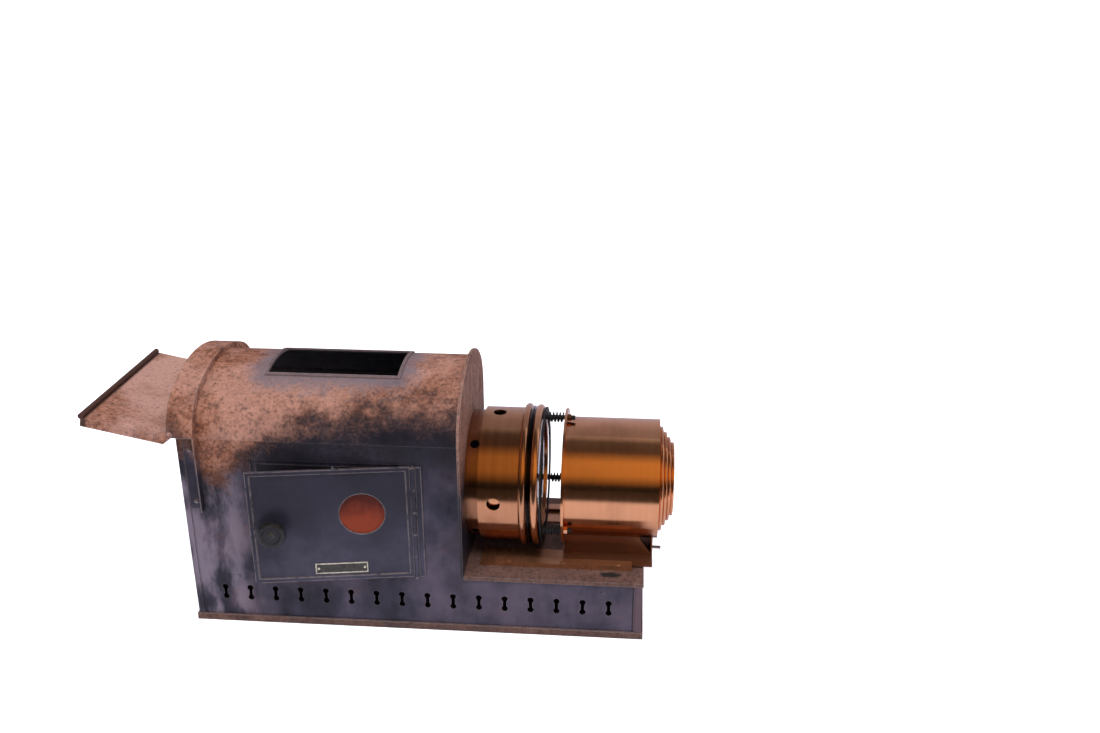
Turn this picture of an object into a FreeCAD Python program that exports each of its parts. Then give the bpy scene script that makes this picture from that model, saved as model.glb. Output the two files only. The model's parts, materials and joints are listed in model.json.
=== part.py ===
import FreeCAD, Part
import math
import os

# Magic lantern: a sheet-iron lamphouse on a vented plinth, with a brass condenser, a sprung slide
# stage and a telescoping brass front that slides on a bed.
# Millimetres. X runs forward along the optical axis, Y to the far side, Z up.
# The origin is the middle of the plinth on its underside.

os.makedirs("parts", exist_ok=True)
V = FreeCAD.Vector

# Lamphouse sheets
SHEET = 1.0
BASE_LENGTH = 375.0
HOUSE_LENGTH = 228.0
HOUSE_WIDTH = 138.0
SPRING_HEIGHT = 170.0
ROOF_RISE = 45.5
ROOF_CORNER = 36.0
DECK_LIP = 3.5
LAMP_FLOOR_HEIGHT = 46.0
FLOOR_FLANGE = 8.0
HEM_WIDTH = 4.5
SEAM_LAP = 7.0
RIM_HEIGHT = 6.0
RIM_THICKNESS = 1.6
CORNER_FOLD = 4.0
REAR_FOLD = 10.0

# Keyhole vents in the plinth
VENT_COUNT = 16
VENT_FIRST = 25.2
VENT_PITCH = 21.58
VENT_HEIGHT = 27.8
VENT_LENGTH = 14.5
VENT_LOBE = 2.6
VENT_WAIST = 1.4
FLOOR_HOLE = 8.0
FLOOR_HOLE_PITCH = 34.0
FLOOR_HOLE_SPREAD = 56.0
FLOOR_HOLE_COUNT = 5

# Roof opening for the chimney
CHIMNEY_START = 66.0
CHIMNEY_LENGTH = 107.5
CHIMNEY_WIDTH = 56.0
CHIMNEY_RIM_WIDTH = 2.5
CHIMNEY_RIM_HEIGHT = 1.5

# Front plate
PLATE_HALF_WIDTH = 71.5
PLATE_RISE = 52.0
PLATE_CORNER = 40.0
PLATE_RIM = 1.2

# Rear hood and its flap
BAND_START = -4.5
BAND_WIDTH = 21.5
BAND_HALF_WIDTH = 76.5
BAND_RISE = 50.0
BAND_CORNER = 42.0
LEG_FOOT = 107.0
LEG_FOOT_WIDTH = 11.0
LEG_RIVET_INSET = 7.0
LEG_RIVET_CLEAR = 2.5
RIVET_SHANK = 1.2
RIVET_HEAD = 2.2
RIVET_HEAD_HEIGHT = 1.0
FLAP_PIVOT_X = -1.5
FLAP_PIVOT_HEIGHT = 176.5
PIVOT_MARGIN = 3.0
BAND_FOOT = FLAP_PIVOT_HEIGHT - PIVOT_MARGIN
FLAP_HALF_WIDTH = 73.5
FLAP_SETBACK = 5.5
FLAP_DROP = 3.9
FLAP_LENGTH = 68.0
FLAP_LIP = 7.5
FLAP_ROLL = 2.2
FLAP_RAISE = 11.6
PIVOT_SHANK = 1.5
PIVOT_HEAD = 2.4
PIVOT_EAR = 3.2

# Side door
HINGE_X = 190.9
KNUCKLE = 1.8
HINGE_PIN = 0.9
KNUCKLE_COUNT = 5
LEAF_WIDTH = 5.0
DOOR_WIDTH = 131.5
DOOR_HEIGHT = 101.0
DOOR_BOTTOM = 51.5
DOOR_AJAR = 9.0
DOOR_HEM = 3.6
DOOR_GAP = 0.7
DOOR_STAND = 0.3
FRAME_LAP = 4.0
GLASS_FROM_HINGE = 41.9
GLASS_HEIGHT = 111.4
GLASS_APERTURE = 18.2
GLASS_RADIUS = 20.5
GLASS_THICKNESS = 2.0
RETAINER_WALL = 1.3
RETAINER_FLANGE = 24.0
KNOB_FROM_HINGE = 113.5
KNOB_HEIGHT = 100.5
KNOB_RADIUS = 11.3
KNOB_NECK = 6.0
KNOB_REACH = 11.5
KNOB_SCREW = 1.6
KNOB_SCREW_HEAD = 3.0
KNOB_NUT = 3.4
KNOB_NUT_HEIGHT = 2.4

# Condenser
AXIS_HEIGHT = 114.2
NECK_RADIUS = 54.0
NECK_LENGTH = 11.0
NECK_SOCKET = 7.0
NECK_FLANGE = 60.0
NECK_VENT = 3.8
NECK_VENT_STATION = 6.8
NECK_VENT_TURN = 38.0
BRASS = 1.2
DRUM_RADIUS = 57.0
DRUM_LENGTH = 39.0
DRUM_VENT = 5.5
DRUM_VENT_STATION = 13.0
REAR_BEAD_RADIUS = 60.7
REAR_BEAD_WIDTH = 5.9
BEAD_CLEAR = 0.3
DECK_HEIGHT = AXIS_HEIGHT - REAR_BEAD_RADIUS - BEAD_CLEAR
CELL_GAP = 3.7
STAGE_BEAD_RADIUS = 60.0
STAGE_BEAD_WIDTH = 6.2
SEAT_COLLAR = 58.8
SEAT_COLLAR_WIDTH = 0.8
SEAT_DEPTH = 6.0
CONDENSER_RADIUS = 50.8
CONDENSER_EDGE = 3.0
CONDENSER_CURVE = 106.0
CELL_DEPTH = 40.5
CELL_LIP = 49.0
RETAINER_WIDTH = 1.4

# Sprung slide stage
STAGE_GAP = 1.3
PRESSURE_RADIUS = 58.0
PRESSURE_APERTURE = 48.0
PRESSURE_THICKNESS = 1.2
SPRING_ROOM = 16.4
SPRING_RADIUS = 3.2
SPRING_WIRE = 1.0
SPRING_TURNS = 5
POST_COUNT = 3
POST_TURN = 90.0
POST_CIRCLE = 54.0
POST_RADIUS = 2.0
POST_HEAD = 3.0
POST_HEAD_HEIGHT = 1.0
POST_TAIL = 6.5
NUT_RADIUS = 3.1
NUT_HEIGHT = 3.0

# Telescoping front
FLANGE_RADIUS = 57.5
FLANGE_THICKNESS = 2.0
JACKET_RADIUS = 50.4
JACKET_LENGTH = 77.7
GUIDE_WIDTH = 2.5
DRAW_COUNT = 4
DRAW_RADIUS = 43.4
DRAW_RADIUS_STEP = 4.3
DRAW_WALL = 1.0
DRAW_BEAD = 0.8
DRAW_BEAD_WIDTH = 2.8
DRAW_STEP = 3.1
DRAW_REAR_SETBACK = 8.0
DRAW_REAR_STEP = 4.0
OBJECTIVE_RADIUS = 25.0
OBJECTIVE_WALL = 1.4
OBJECTIVE_LENGTH = 56.0
OBJECTIVE_RECESS = 1.0
OBJECTIVE_LENS_EDGE = 4.0
OBJECTIVE_CURVE = 72.0
OBJECTIVE_STEP = 1.2
OBJECTIVE_RING = 2.0

# Bed and saddle
BED_LENGTH = 127.0
BED_HALF_WIDTH = 51.5
BED_THICKNESS = 1.2
BED_NOTCH = 24.0
SADDLE_FOOT = 46.0
SADDLE_HALF_WIDTH = 28.0
SADDLE_SHEET = 1.2
SADDLE_OVERRUN = 3.5
SADDLE_CUT = 11.0
GUIDE_LAP = 4.0
GUIDE_SHEET = 1.2
BED_SCREW = 1.4
BED_SCREW_HEAD = 2.6
BED_SCREW_HEIGHT = 1.2
SCREW_SLOT = 0.7
BED_SCREW_INSET = 12.0
PEG_RADIUS = 1.3
PEG_LENGTH = 7.0
PEG_RISE = 6.1
PEG_OFFSET = 23.0

# Lamp inside the house
TRAY_START = 18.0
TRAY_LENGTH = 165.0
TRAY_HALF_WIDTH = 44.0
TRAY_SHEET = 1.2
TRAY_TAB_HEIGHT = 16.0
TRAY_TAB_WIDTH = 30.0
RUNNER_SHEET = 1.0
RUNNER_HEIGHT = 3.4
RUNNER_LAP = 3.0
PILLAR_X = 108.0
PILLAR_RADIUS = 4.0
PILLAR_HEIGHT = 96.0
SLEEVE_RADIUS = 7.5
SLEEVE_LENGTH = 20.0
SLEEVE_DROP = 50.2
SLEEVE_HEIGHT = AXIS_HEIGHT - SLEEVE_DROP
LAMP_X = 160.0
ARM_WIDTH = 12.0
ARM_THICKNESS = 5.0
HOLDER_RADIUS = 14.0
HOLDER_HEIGHT = 20.0
HOLDER_WALL = 3.0
HOLDER_FLOOR = 5.0
BULB_RADIUS = 21.0
BULB_NECK = 9.5
REFLECTOR_RADIUS = 27.0
REFLECTOR_CURVE = 40.0
REFLECTOR_SETBACK = 28.0
CLAMP_RADIUS = 2.0
CLAMP_HEAD = 7.0

# Clearances
RUNNING = 0.06
SLIDING = 0.2
LOOSE = 0.3

# Stations along the axis
HALF = HOUSE_WIDTH / 2
REAR = -BASE_LENGTH / 2
FRONT = BASE_LENGTH / 2
HOUSE_FRONT = REAR + HOUSE_LENGTH
PLATE_FACE = HOUSE_FRONT + SHEET
DRUM_REAR = PLATE_FACE + NECK_LENGTH
DRUM_FRONT = DRUM_REAR + DRUM_LENGTH
STAGE_BEAD_REAR = DRUM_FRONT + CELL_GAP
STAGE_FACE = STAGE_BEAD_REAR + STAGE_BEAD_WIDTH
PRESSURE_REAR = STAGE_FACE + STAGE_GAP
PRESSURE_FACE = PRESSURE_REAR + PRESSURE_THICKNESS
FLANGE_REAR = PRESSURE_FACE + SPRING_ROOM
FLANGE_FACE = FLANGE_REAR + FLANGE_THICKNESS
JACKET_FRONT = FLANGE_FACE + JACKET_LENGTH
BED_TOP = DECK_HEIGHT + BED_THICKNESS
HINGE_AXIS_X = REAR + HINGE_X
HINGE_AXIS_Y = -HALF - KNUCKLE - 0.1


def box(x0, x1, y0, y1, z0, z1):
    return Part.makeBox(x1 - x0, y1 - y0, z1 - z0, V(x0, y0, z0))


def fuse(solids):
    return solids[0].multiFuse(solids[1:]).removeSplitter()


def rod(radius, start, along, length):
    return Part.makeCylinder(radius, length, start, along)


def tube(outer, inner, start, along, length):
    return rod(outer, start, along, length).cut(rod(inner, start, along, length))


def polygon_face(points):
    return Part.Face(Part.makePolygon(points + [points[0]]))


def turned(points, origin, along):
    # A piece turned on a lathe: (station, radius) corners spun about the axis. A third number
    # bulges the side that leads to that corner outward by that much.
    side = V(0, 0, 1) if abs(along.z) < 0.5 else V(1, 0, 0)
    edges = []
    placed = [origin + along * p[0] + side * p[1] for p in points]
    for i, point in enumerate(points):
        last = placed[i - 1]
        here = placed[i]
        if len(point) == 3:
            middle = (last + here) * 0.5 + side * point[2]
            edges.append(Part.Arc(last, middle, here).toShape())
        else:
            edges.append(Part.LineSegment(last, here).toShape())
    return Part.Face(Part.Wire(Part.__sortEdges__(edges))).revolve(origin, along, 360)


def on_axis(points):
    return turned(points, V(0, 0, AXIS_HEIGHT), V(1, 0, 0))


def arch_block(half, rise, corner, foot, x0, x1):
    # A block whose section is a three-centred arch springing at SPRING_HEIGHT.
    top = ((half - corner) ** 2 + rise ** 2 - corner ** 2) / (2 * (rise - corner))
    centre = SPRING_HEIGHT + rise - top
    turn = math.atan2(SPRING_HEIGHT - centre, half - corner)
    lean = turn / 2
    y_mid = half - corner + corner * math.cos(lean)
    z_mid = SPRING_HEIGHT + corner * math.sin(lean)
    y_join = top * math.cos(turn)
    z_join = centre + top * math.sin(turn)
    crown = V(x0, 0, SPRING_HEIGHT + rise)
    edges = [
        Part.LineSegment(V(x0, -half, foot), V(x0, half, foot)).toShape(),
        Part.Arc(V(x0, half, SPRING_HEIGHT), V(x0, y_mid, z_mid), V(x0, y_join, z_join)).toShape(),
        Part.Arc(V(x0, y_join, z_join), crown, V(x0, -y_join, z_join)).toShape(),
        Part.Arc(V(x0, -y_join, z_join), V(x0, -y_mid, z_mid), V(x0, -half, SPRING_HEIGHT)).toShape(),
    ]
    if foot < SPRING_HEIGHT:
        edges.insert(1, Part.LineSegment(V(x0, half, foot), V(x0, half, SPRING_HEIGHT)).toShape())
        edges.append(Part.LineSegment(V(x0, -half, SPRING_HEIGHT), V(x0, -half, foot)).toShape())
    return Part.Face(Part.Wire(edges)).extrude(V(x1 - x0, 0, 0))


def roof_block(outset, foot, x0, x1):
    return arch_block(HALF + outset, ROOF_RISE + outset, ROOF_CORNER + outset, foot, x0, x1)


def band_block(inset, foot, x0, x1):
    return arch_block(BAND_HALF_WIDTH - inset, BAND_RISE - inset, BAND_CORNER - inset, foot, x0, x1)


def mirror(solid):
    return solid.mirror(V(0, 0, 0), V(0, 1, 0))


def keep(name, shape):
    solids = shape if isinstance(shape, list) else [shape]
    out = []
    for solid in solids:
        if not solid.isValid() or solid.Volume <= 0:
            raise ValueError(name + " is not a sound solid")
        if len(solid.Solids) != 1:
            raise ValueError(name + " is not one solid")
        out.append(solid.Solids[0])
    whole = out[0] if len(out) == 1 else Part.makeCompound(out)
    whole.exportStep("parts/" + name + ".step")


# Side panels: each is one sheet, the lamphouse wall and the plinth wall in one
def keyhole(x, y):
    rise = VENT_LENGTH / 2 - VENT_LOBE
    dip = math.sqrt(VENT_LOBE ** 2 - VENT_WAIST ** 2)
    top = VENT_HEIGHT + rise
    low = VENT_HEIGHT - rise
    a = V(x + VENT_WAIST, y, low + dip)
    b = V(x + VENT_WAIST, y, top - dip)
    c = V(x - VENT_WAIST, y, top - dip)
    d = V(x - VENT_WAIST, y, low + dip)
    return Part.Wire([
        Part.LineSegment(a, b).toShape(),
        Part.Arc(b, V(x, y, top + VENT_LOBE), c).toShape(),
        Part.LineSegment(c, d).toShape(),
        Part.Arc(d, V(x, y, low - VENT_LOBE), a).toShape(),
    ])


def rectangle(x0, x1, z0, z1, y):
    return Part.makePolygon([V(x0, y, z0), V(x1, y, z0), V(x1, y, z1), V(x0, y, z1), V(x0, y, z0)])


DOOR_LEFT = HINGE_AXIS_X - DOOR_WIDTH
DOOR_TOP = DOOR_BOTTOM + DOOR_HEIGHT
OPENING_LEFT = DOOR_LEFT - DOOR_GAP
OPENING_RIGHT = HINGE_AXIS_X - DOOR_GAP
OPENING_LOW = DOOR_BOTTOM - DOOR_GAP
OPENING_TOP = DOOR_TOP + DOOR_GAP
PLINTH_TOP = DECK_HEIGHT - SHEET
LEG_RIVETS = [LEG_FOOT + LEG_RIVET_INSET, SPRING_HEIGHT - SEAM_LAP - LEG_RIVET_CLEAR]
LEG_FACE = REAR + BAND_START + BAND_WIDTH
RIVET_X = LEG_FACE - SHEET - LEG_FOOT_WIDTH / 2


def side_panel(door):
    y = -HALF
    outline = Part.makePolygon([
        V(REAR, y, 0),
        V(FRONT, y, 0),
        V(FRONT, y, PLINTH_TOP),
        V(HOUSE_FRONT, y, PLINTH_TOP),
        V(HOUSE_FRONT, y, SPRING_HEIGHT),
        V(REAR, y, SPRING_HEIGHT),
        V(REAR, y, 0),
    ])
    holes = [keyhole(REAR + VENT_FIRST + i * VENT_PITCH, y) for i in range(VENT_COUNT)]
    if door:
        holes.append(rectangle(OPENING_LEFT, OPENING_RIGHT, OPENING_LOW, OPENING_TOP, y))
    face = Part.Face(outline)
    face = face.cut(Part.makeCompound([Part.Face(hole) for hole in holes])).Faces[0]
    sheet = face.extrude(V(0, SHEET, 0))
    hem = box(REAR, REAR + HEM_WIDTH, y - SHEET, y, RIM_HEIGHT + LOOSE, SPRING_HEIGHT)
    bores = []
    for z in LEG_RIVETS:
        bores.append(rod(RIVET_SHANK + RUNNING, V(RIVET_X, y - SHEET, z), V(0, 1, 0), 3 * SHEET))
    return fuse([sheet, hem]).cut(Part.makeCompound(bores))


keep("near_side_panel", side_panel(True))
keep("far_side_panel", mirror(side_panel(False)))

# Roof sheet with the chimney opening, its raised rim and the lap strips along both seams
roof = roof_block(0, SPRING_HEIGHT, REAR, HOUSE_FRONT)
roof = roof.cut(roof_block(-SHEET, SPRING_HEIGHT - 1, REAR - 1, HOUSE_FRONT + 1))
CHIMNEY_X0 = REAR + CHIMNEY_START
CHIMNEY_X1 = CHIMNEY_X0 + CHIMNEY_LENGTH
CHIMNEY_TOP = SPRING_HEIGHT + ROOF_RISE + CHIMNEY_RIM_HEIGHT + 1


def chimney_box(grow):
    half = CHIMNEY_WIDTH / 2 + grow
    return box(CHIMNEY_X0 - grow, CHIMNEY_X1 + grow, -half, half, SPRING_HEIGHT, CHIMNEY_TOP)


keep("roof_panel", roof.cut(chimney_box(0)))
rim = roof_block(CHIMNEY_RIM_HEIGHT, SPRING_HEIGHT, REAR, HOUSE_FRONT)
rim = rim.cut(roof_block(RUNNING, SPRING_HEIGHT - 1, REAR - 1, HOUSE_FRONT + 1))
keep("chimney_rim", rim.common(chimney_box(CHIMNEY_RIM_WIDTH).cut(chimney_box(0))))

lap = roof_block(-SHEET - RUNNING, SPRING_HEIGHT - SEAM_LAP, REAR + HEM_WIDTH, HOUSE_FRONT - SEAM_LAP)
lap = lap.cut(roof_block(-2 * SHEET, 0, REAR, HOUSE_FRONT))
lap = lap.cut(box(REAR, HOUSE_FRONT, -HALF, HALF, SPRING_HEIGHT + SEAM_LAP, CHIMNEY_TOP))
keep("seam_strips", lap.Solids)

# Plinth: floor, foot rim, end panels, deck and the pierced lamp floor
keep("base_floor", box(REAR, FRONT, -HALF + SHEET, HALF - SHEET, 0, SHEET))

rim_y = HALF + RIM_THICKNESS
rim_front = FRONT + SHEET
near_strip = box(REAR, rim_front, -rim_y, -HALF, 0, RIM_HEIGHT)
front_strip = box(rim_front, rim_front + RIM_THICKNESS, -rim_y, rim_y, 0, RIM_HEIGHT)
rear_strip = box(REAR - RIM_THICKNESS, REAR, -rim_y, rim_y, 0, RIM_HEIGHT)
keep("base_rim", [near_strip, mirror(near_strip), front_strip, rear_strip])

front_sheet = box(FRONT, rim_front, -HALF - SHEET, HALF + SHEET, RIM_HEIGHT, PLINTH_TOP)
front_foot = box(FRONT, rim_front, -HALF, HALF, 0, RIM_HEIGHT)
fold = box(FRONT - CORNER_FOLD, FRONT, -HALF - SHEET, -HALF, RIM_HEIGHT, DECK_HEIGHT - DECK_LIP)
trim = box(FRONT, rim_front, -HALF - SHEET, -HALF, DECK_HEIGHT - DECK_LIP, PLINTH_TOP)
front_panel = fuse([front_sheet, front_foot, fold, mirror(fold)])
keep("base_front_panel", front_panel.cut(trim).cut(mirror(trim)))

LAMP_FLOOR_LOW = LAMP_FLOOR_HEIGHT - SHEET
rear_sheet = box(REAR, REAR + SHEET, -HALF + SHEET, HALF - SHEET, SHEET, LAMP_FLOOR_LOW)
FLANGE_LOW = LAMP_FLOOR_LOW - FLOOR_FLANGE
rear_fold = box(REAR, REAR + REAR_FOLD, -HALF + SHEET, -HALF + 2 * SHEET, SHEET, FLANGE_LOW)
keep("base_rear_panel", fuse([rear_sheet, rear_fold, mirror(rear_fold)]))

LIP_LOW = DECK_HEIGHT - DECK_LIP
deck_y = HALF + SHEET
deck = box(HOUSE_FRONT, rim_front + SHEET, -deck_y, deck_y, PLINTH_TOP, DECK_HEIGHT)
deck_side = box(PLATE_FACE, rim_front + SHEET, -deck_y, -HALF, LIP_LOW, PLINTH_TOP)
deck_front = box(rim_front, rim_front + SHEET, -deck_y, deck_y, LIP_LOW, PLINTH_TOP)
keep("deck_plate", fuse([deck, deck_side, mirror(deck_side), deck_front]))

floor_y = HALF - SHEET
lamp_floor = box(REAR, HOUSE_FRONT, -floor_y, floor_y, LAMP_FLOOR_LOW, LAMP_FLOOR_HEIGHT)
floor_x0 = REAR + REAR_FOLD + LOOSE
floor_side = box(floor_x0, HOUSE_FRONT, -floor_y, -floor_y + SHEET, FLANGE_LOW, LAMP_FLOOR_LOW)
lamp_floor = fuse([lamp_floor, floor_side, mirror(floor_side)])
for i in range(FLOOR_HOLE_COUNT):
    hole_x = (REAR + HOUSE_FRONT) / 2 + (i - (FLOOR_HOLE_COUNT - 1) / 2) * FLOOR_HOLE_PITCH
    for hole_y in (-FLOOR_HOLE_SPREAD, FLOOR_HOLE_SPREAD):
        hole_foot = V(hole_x, hole_y, FLANGE_LOW)
        lamp_floor = lamp_floor.cut(rod(FLOOR_HOLE, hole_foot, V(0, 0, 1), 2 * FLOOR_FLANGE))
keep("lamp_floor", lamp_floor)

# Front plate: an arched sheet with its edge folded back over the house
plate_rear = HOUSE_FRONT - PLATE_RIM
front_plate = arch_block(PLATE_HALF_WIDTH, PLATE_RISE, PLATE_CORNER, DECK_HEIGHT, plate_rear, PLATE_FACE)
hollow = arch_block(
    PLATE_HALF_WIDTH - SHEET, PLATE_RISE - SHEET, PLATE_CORNER - SHEET, 0, plate_rear - 1, HOUSE_FRONT
)
FORWARD = V(1, 0, 0)
neck_bore = rod(NECK_RADIUS + RUNNING, V(HOUSE_FRONT - 1, 0, AXIS_HEIGHT), FORWARD, 3 * SHEET)
keep("front_plate", front_plate.cut(hollow).cut(neck_bore))

# Rear hood: an arched band carried on a standing flange, whose legs are riveted to the walls
BAND_X0 = REAR + BAND_START
BAND_X1 = BAND_X0 + BAND_WIDTH
FLAP_AXIS = V(REAR + FLAP_PIVOT_X, 0, FLAP_PIVOT_HEIGHT)
band = band_block(0, SPRING_HEIGHT, BAND_X0, BAND_X1)
band = band.cut(band_block(SHEET, SPRING_HEIGHT - 1, BAND_X0 - 1, BAND_X1 + 1))
band = band.cut(box(BAND_X0 - 1, BAND_X1 + 1, -BAND_HALF_WIDTH - 1, BAND_HALF_WIDTH + 1, 0, BAND_FOOT))
flange = band_block(0, LEG_FOOT, BAND_X1 - SHEET, BAND_X1)
flange = flange.cut(roof_block(RUNNING, LEG_FOOT - 1, BAND_X0, BAND_X1 + 1))
foot_x0 = BAND_X1 - SHEET - LEG_FOOT_WIDTH
leg_foot = box(foot_x0, BAND_X1, -HALF - SHEET, -HALF, LEG_FOOT, SPRING_HEIGHT)
hood = fuse([band, flange, leg_foot, mirror(leg_foot)])
ACROSS = V(0, 1, 0)
band_span = 2 * BAND_HALF_WIDTH + 4
hood_bores = [rod(PIVOT_SHANK + RUNNING, FLAP_AXIS - ACROSS * (band_span / 2), ACROSS, band_span)]
for z in LEG_RIVETS:
    hood_bores.append(rod(RIVET_SHANK + RUNNING, V(RIVET_X, -HALF - 2, z), ACROSS, HOUSE_WIDTH + 4))
keep("hood_band", hood.cut(Part.makeCompound(hood_bores)))


def leg_rivet(z):
    # Domed outside, set flat inside the wall
    grip = 2 * SHEET
    return turned(
        [(-RIVET_HEAD_HEIGHT, 0), (0, RIVET_HEAD, 0.6), (0, RIVET_SHANK), (grip, RIVET_SHANK),
         (grip, RIVET_HEAD), (grip + RIVET_HEAD_HEIGHT / 2, RIVET_HEAD), (grip + RIVET_HEAD_HEIGHT / 2, 0)],
        V(RIVET_X, -HALF - SHEET, z), V(0, 1, 0)
    )


leg_rivets = [leg_rivet(z) for z in LEG_RIVETS]
keep("hood_rivets", leg_rivets + [mirror(rivet) for rivet in leg_rivets])

shank_end = BAND_HALF_WIDTH - FLAP_HALF_WIDTH + SHEET + SLIDING
pivot = turned(
    [(-RIVET_HEAD_HEIGHT, 0), (0, PIVOT_HEAD, 0.6), (0, PIVOT_SHANK), (shank_end, PIVOT_SHANK),
     (shank_end, PIVOT_HEAD), (shank_end + SHEET, PIVOT_HEAD), (shank_end + SHEET, 0)],
    FLAP_AXIS - V(0, BAND_HALF_WIDTH, 0), V(0, 1, 0)
)
keep("flap_pivots", [pivot, mirror(pivot)])

# Hood flap: drawn level with its pivot at the origin, then raised to where it stands
flap_x0 = -FLAP_SETBACK - FLAP_LENGTH
plate = box(flap_x0, -FLAP_SETBACK, -FLAP_HALF_WIDTH, FLAP_HALF_WIDTH, -FLAP_DROP - SHEET, -FLAP_DROP)
lip_low = -FLAP_DROP - FLAP_LIP
lip = box(flap_x0, -FLAP_SETBACK, -FLAP_HALF_WIDTH, -FLAP_HALF_WIDTH + SHEET, lip_low, -FLAP_DROP)
roll_z = FLAP_ROLL - FLAP_DROP - SHEET
roll = rod(FLAP_ROLL, V(flap_x0, -FLAP_HALF_WIDTH, roll_z), V(0, 1, 0), 2 * FLAP_HALF_WIDTH)
ear_y = -FLAP_HALF_WIDTH
ear = polygon_face([
    V(-FLAP_SETBACK - FLAP_LIP, ear_y, -FLAP_DROP),
    V(-FLAP_SETBACK - FLAP_LIP, ear_y, lip_low),
    V(-FLAP_SETBACK, ear_y, lip_low),
    V(PIVOT_EAR * 0.6, ear_y, -PIVOT_EAR * 0.8),
    V(-PIVOT_EAR * 0.6, ear_y, PIVOT_EAR * 0.8),
]).extrude(V(0, SHEET, 0))
ear = ear.fuse(rod(PIVOT_EAR, V(0, ear_y, 0), V(0, 1, 0), SHEET))
ear = ear.cut(rod(PIVOT_SHANK + RUNNING, V(0, ear_y - 1, 0), V(0, 1, 0), SHEET + 2))
flap = fuse([plate, lip, mirror(lip), roll, ear, mirror(ear)])
flap.rotate(V(0, 0, 0), V(0, 1, 0), FLAP_RAISE)
flap.translate(FLAP_AXIS)
keep("hood_flap", flap)

# Door frame: a flat strip inside the wall that the door shuts against
frame_y0 = -HALF + SHEET
outer_frame = box(
    OPENING_LEFT - FRAME_LAP, OPENING_RIGHT + FRAME_LAP, frame_y0, frame_y0 + SHEET,
    OPENING_LOW - FRAME_LAP, OPENING_TOP + FRAME_LAP
)
inner_frame = box(
    OPENING_LEFT + FRAME_LAP, OPENING_RIGHT - FRAME_LAP, frame_y0 - 1, frame_y0 + 2 * SHEET,
    OPENING_LOW + FRAME_LAP, OPENING_TOP - FRAME_LAP
)
keep("door_frame", outer_frame.cut(inner_frame))

# Hinge: knuckles of the wall leaf and of the door take turns along one pin
HINGE_FOOT = V(HINGE_AXIS_X, HINGE_AXIS_Y, DOOR_BOTTOM)
UP = V(0, 0, 1)
knuckle_step = DOOR_HEIGHT / KNUCKLE_COUNT


def knuckles(first, web_x0, web_x1):
    made = []
    for i in range(first, KNUCKLE_COUNT, 2):
        low = i * knuckle_step + SLIDING
        height = knuckle_step - 2 * SLIDING
        z = DOOR_BOTTOM + low
        barrel = rod(KNUCKLE, HINGE_FOOT + UP * low, UP, height)
        web = box(web_x0, web_x1, -HALF - DOOR_STAND - SHEET, -HALF - DOOR_STAND, z, z + height)
        made.append(barrel.fuse(web))
    return made


hinge_bore = rod(HINGE_PIN + RUNNING, HINGE_FOOT - UP * 5, UP, DOOR_HEIGHT + 10)
leaf_plate = box(
    HINGE_AXIS_X + KNUCKLE, HINGE_AXIS_X + KNUCKLE + LEAF_WIDTH, -HALF - DOOR_STAND - SHEET, -HALF,
    DOOR_BOTTOM + SLIDING, DOOR_TOP - SLIDING
)
leaf = fuse([leaf_plate] + knuckles(0, HINGE_AXIS_X, HINGE_AXIS_X + KNUCKLE + LEAF_WIDTH))
keep("hinge_leaf", leaf.cut(hinge_bore))
pin_low = HINGE_FOOT - UP * SHEET
pin_head = rod(KNUCKLE, pin_low, UP, SHEET)
pin = pin_head.fuse(rod(HINGE_PIN, pin_low, UP, DOOR_HEIGHT + 2 * SHEET))
keep("hinge_pin", pin.removeSplitter())

# Side door: a sheet with its edge hemmed, drawn shut, then turned ajar with all that it carries
door_out = -HALF - DOOR_STAND
door_in = door_out + SHEET
door_right = HINGE_AXIS_X - KNUCKLE - LOOSE
panel = box(DOOR_LEFT, door_right, door_out, door_in, DOOR_BOTTOM, DOOR_TOP)
hem = box(DOOR_LEFT, door_right, door_out - SHEET, door_out, DOOR_BOTTOM, DOOR_TOP)
hem = hem.cut(box(
    DOOR_LEFT + DOOR_HEM, door_right - DOOR_HEM, door_out - 2 * SHEET, door_in,
    DOOR_BOTTOM + DOOR_HEM, DOOR_TOP - DOOR_HEM
))
door = fuse([panel, hem] + knuckles(1, door_right - DOOR_HEM, HINGE_AXIS_X))
INWARD = V(0, 1, 0)
GLASS_CENTRE = V(HINGE_AXIS_X - GLASS_FROM_HINGE, door_in, GLASS_HEIGHT)
KNOB_CENTRE = V(HINGE_AXIS_X - KNOB_FROM_HINGE, door_out, KNOB_HEIGHT)
aperture = rod(GLASS_APERTURE, GLASS_CENTRE - INWARD * 2, INWARD, 4)
screw_bore = rod(KNOB_SCREW + RUNNING, KNOB_CENTRE - INWARD * 2, INWARD, 4)
door = door.cut(Part.makeCompound([hinge_bore, aperture, screw_bore]))


def keep_on_door(name, solid):
    solid.rotate(HINGE_FOOT, UP, DOOR_AJAR)
    keep(name, solid)


keep_on_door("side_door", door)
keep_on_door("ruby_glass", rod(GLASS_RADIUS, GLASS_CENTRE, INWARD, GLASS_THICKNESS))
cup = GLASS_RADIUS + SLIDING
back = GLASS_THICKNESS + RUNNING
retainer = turned(
    [(0, cup), (0, RETAINER_FLANGE), (SHEET, RETAINER_FLANGE), (SHEET, cup + RETAINER_WALL),
     (back + SHEET, cup + RETAINER_WALL), (back + SHEET, GLASS_APERTURE), (back, GLASS_APERTURE),
     (back, cup)],
    GLASS_CENTRE, INWARD
)
keep_on_door("glass_retainer", retainer)

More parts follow.
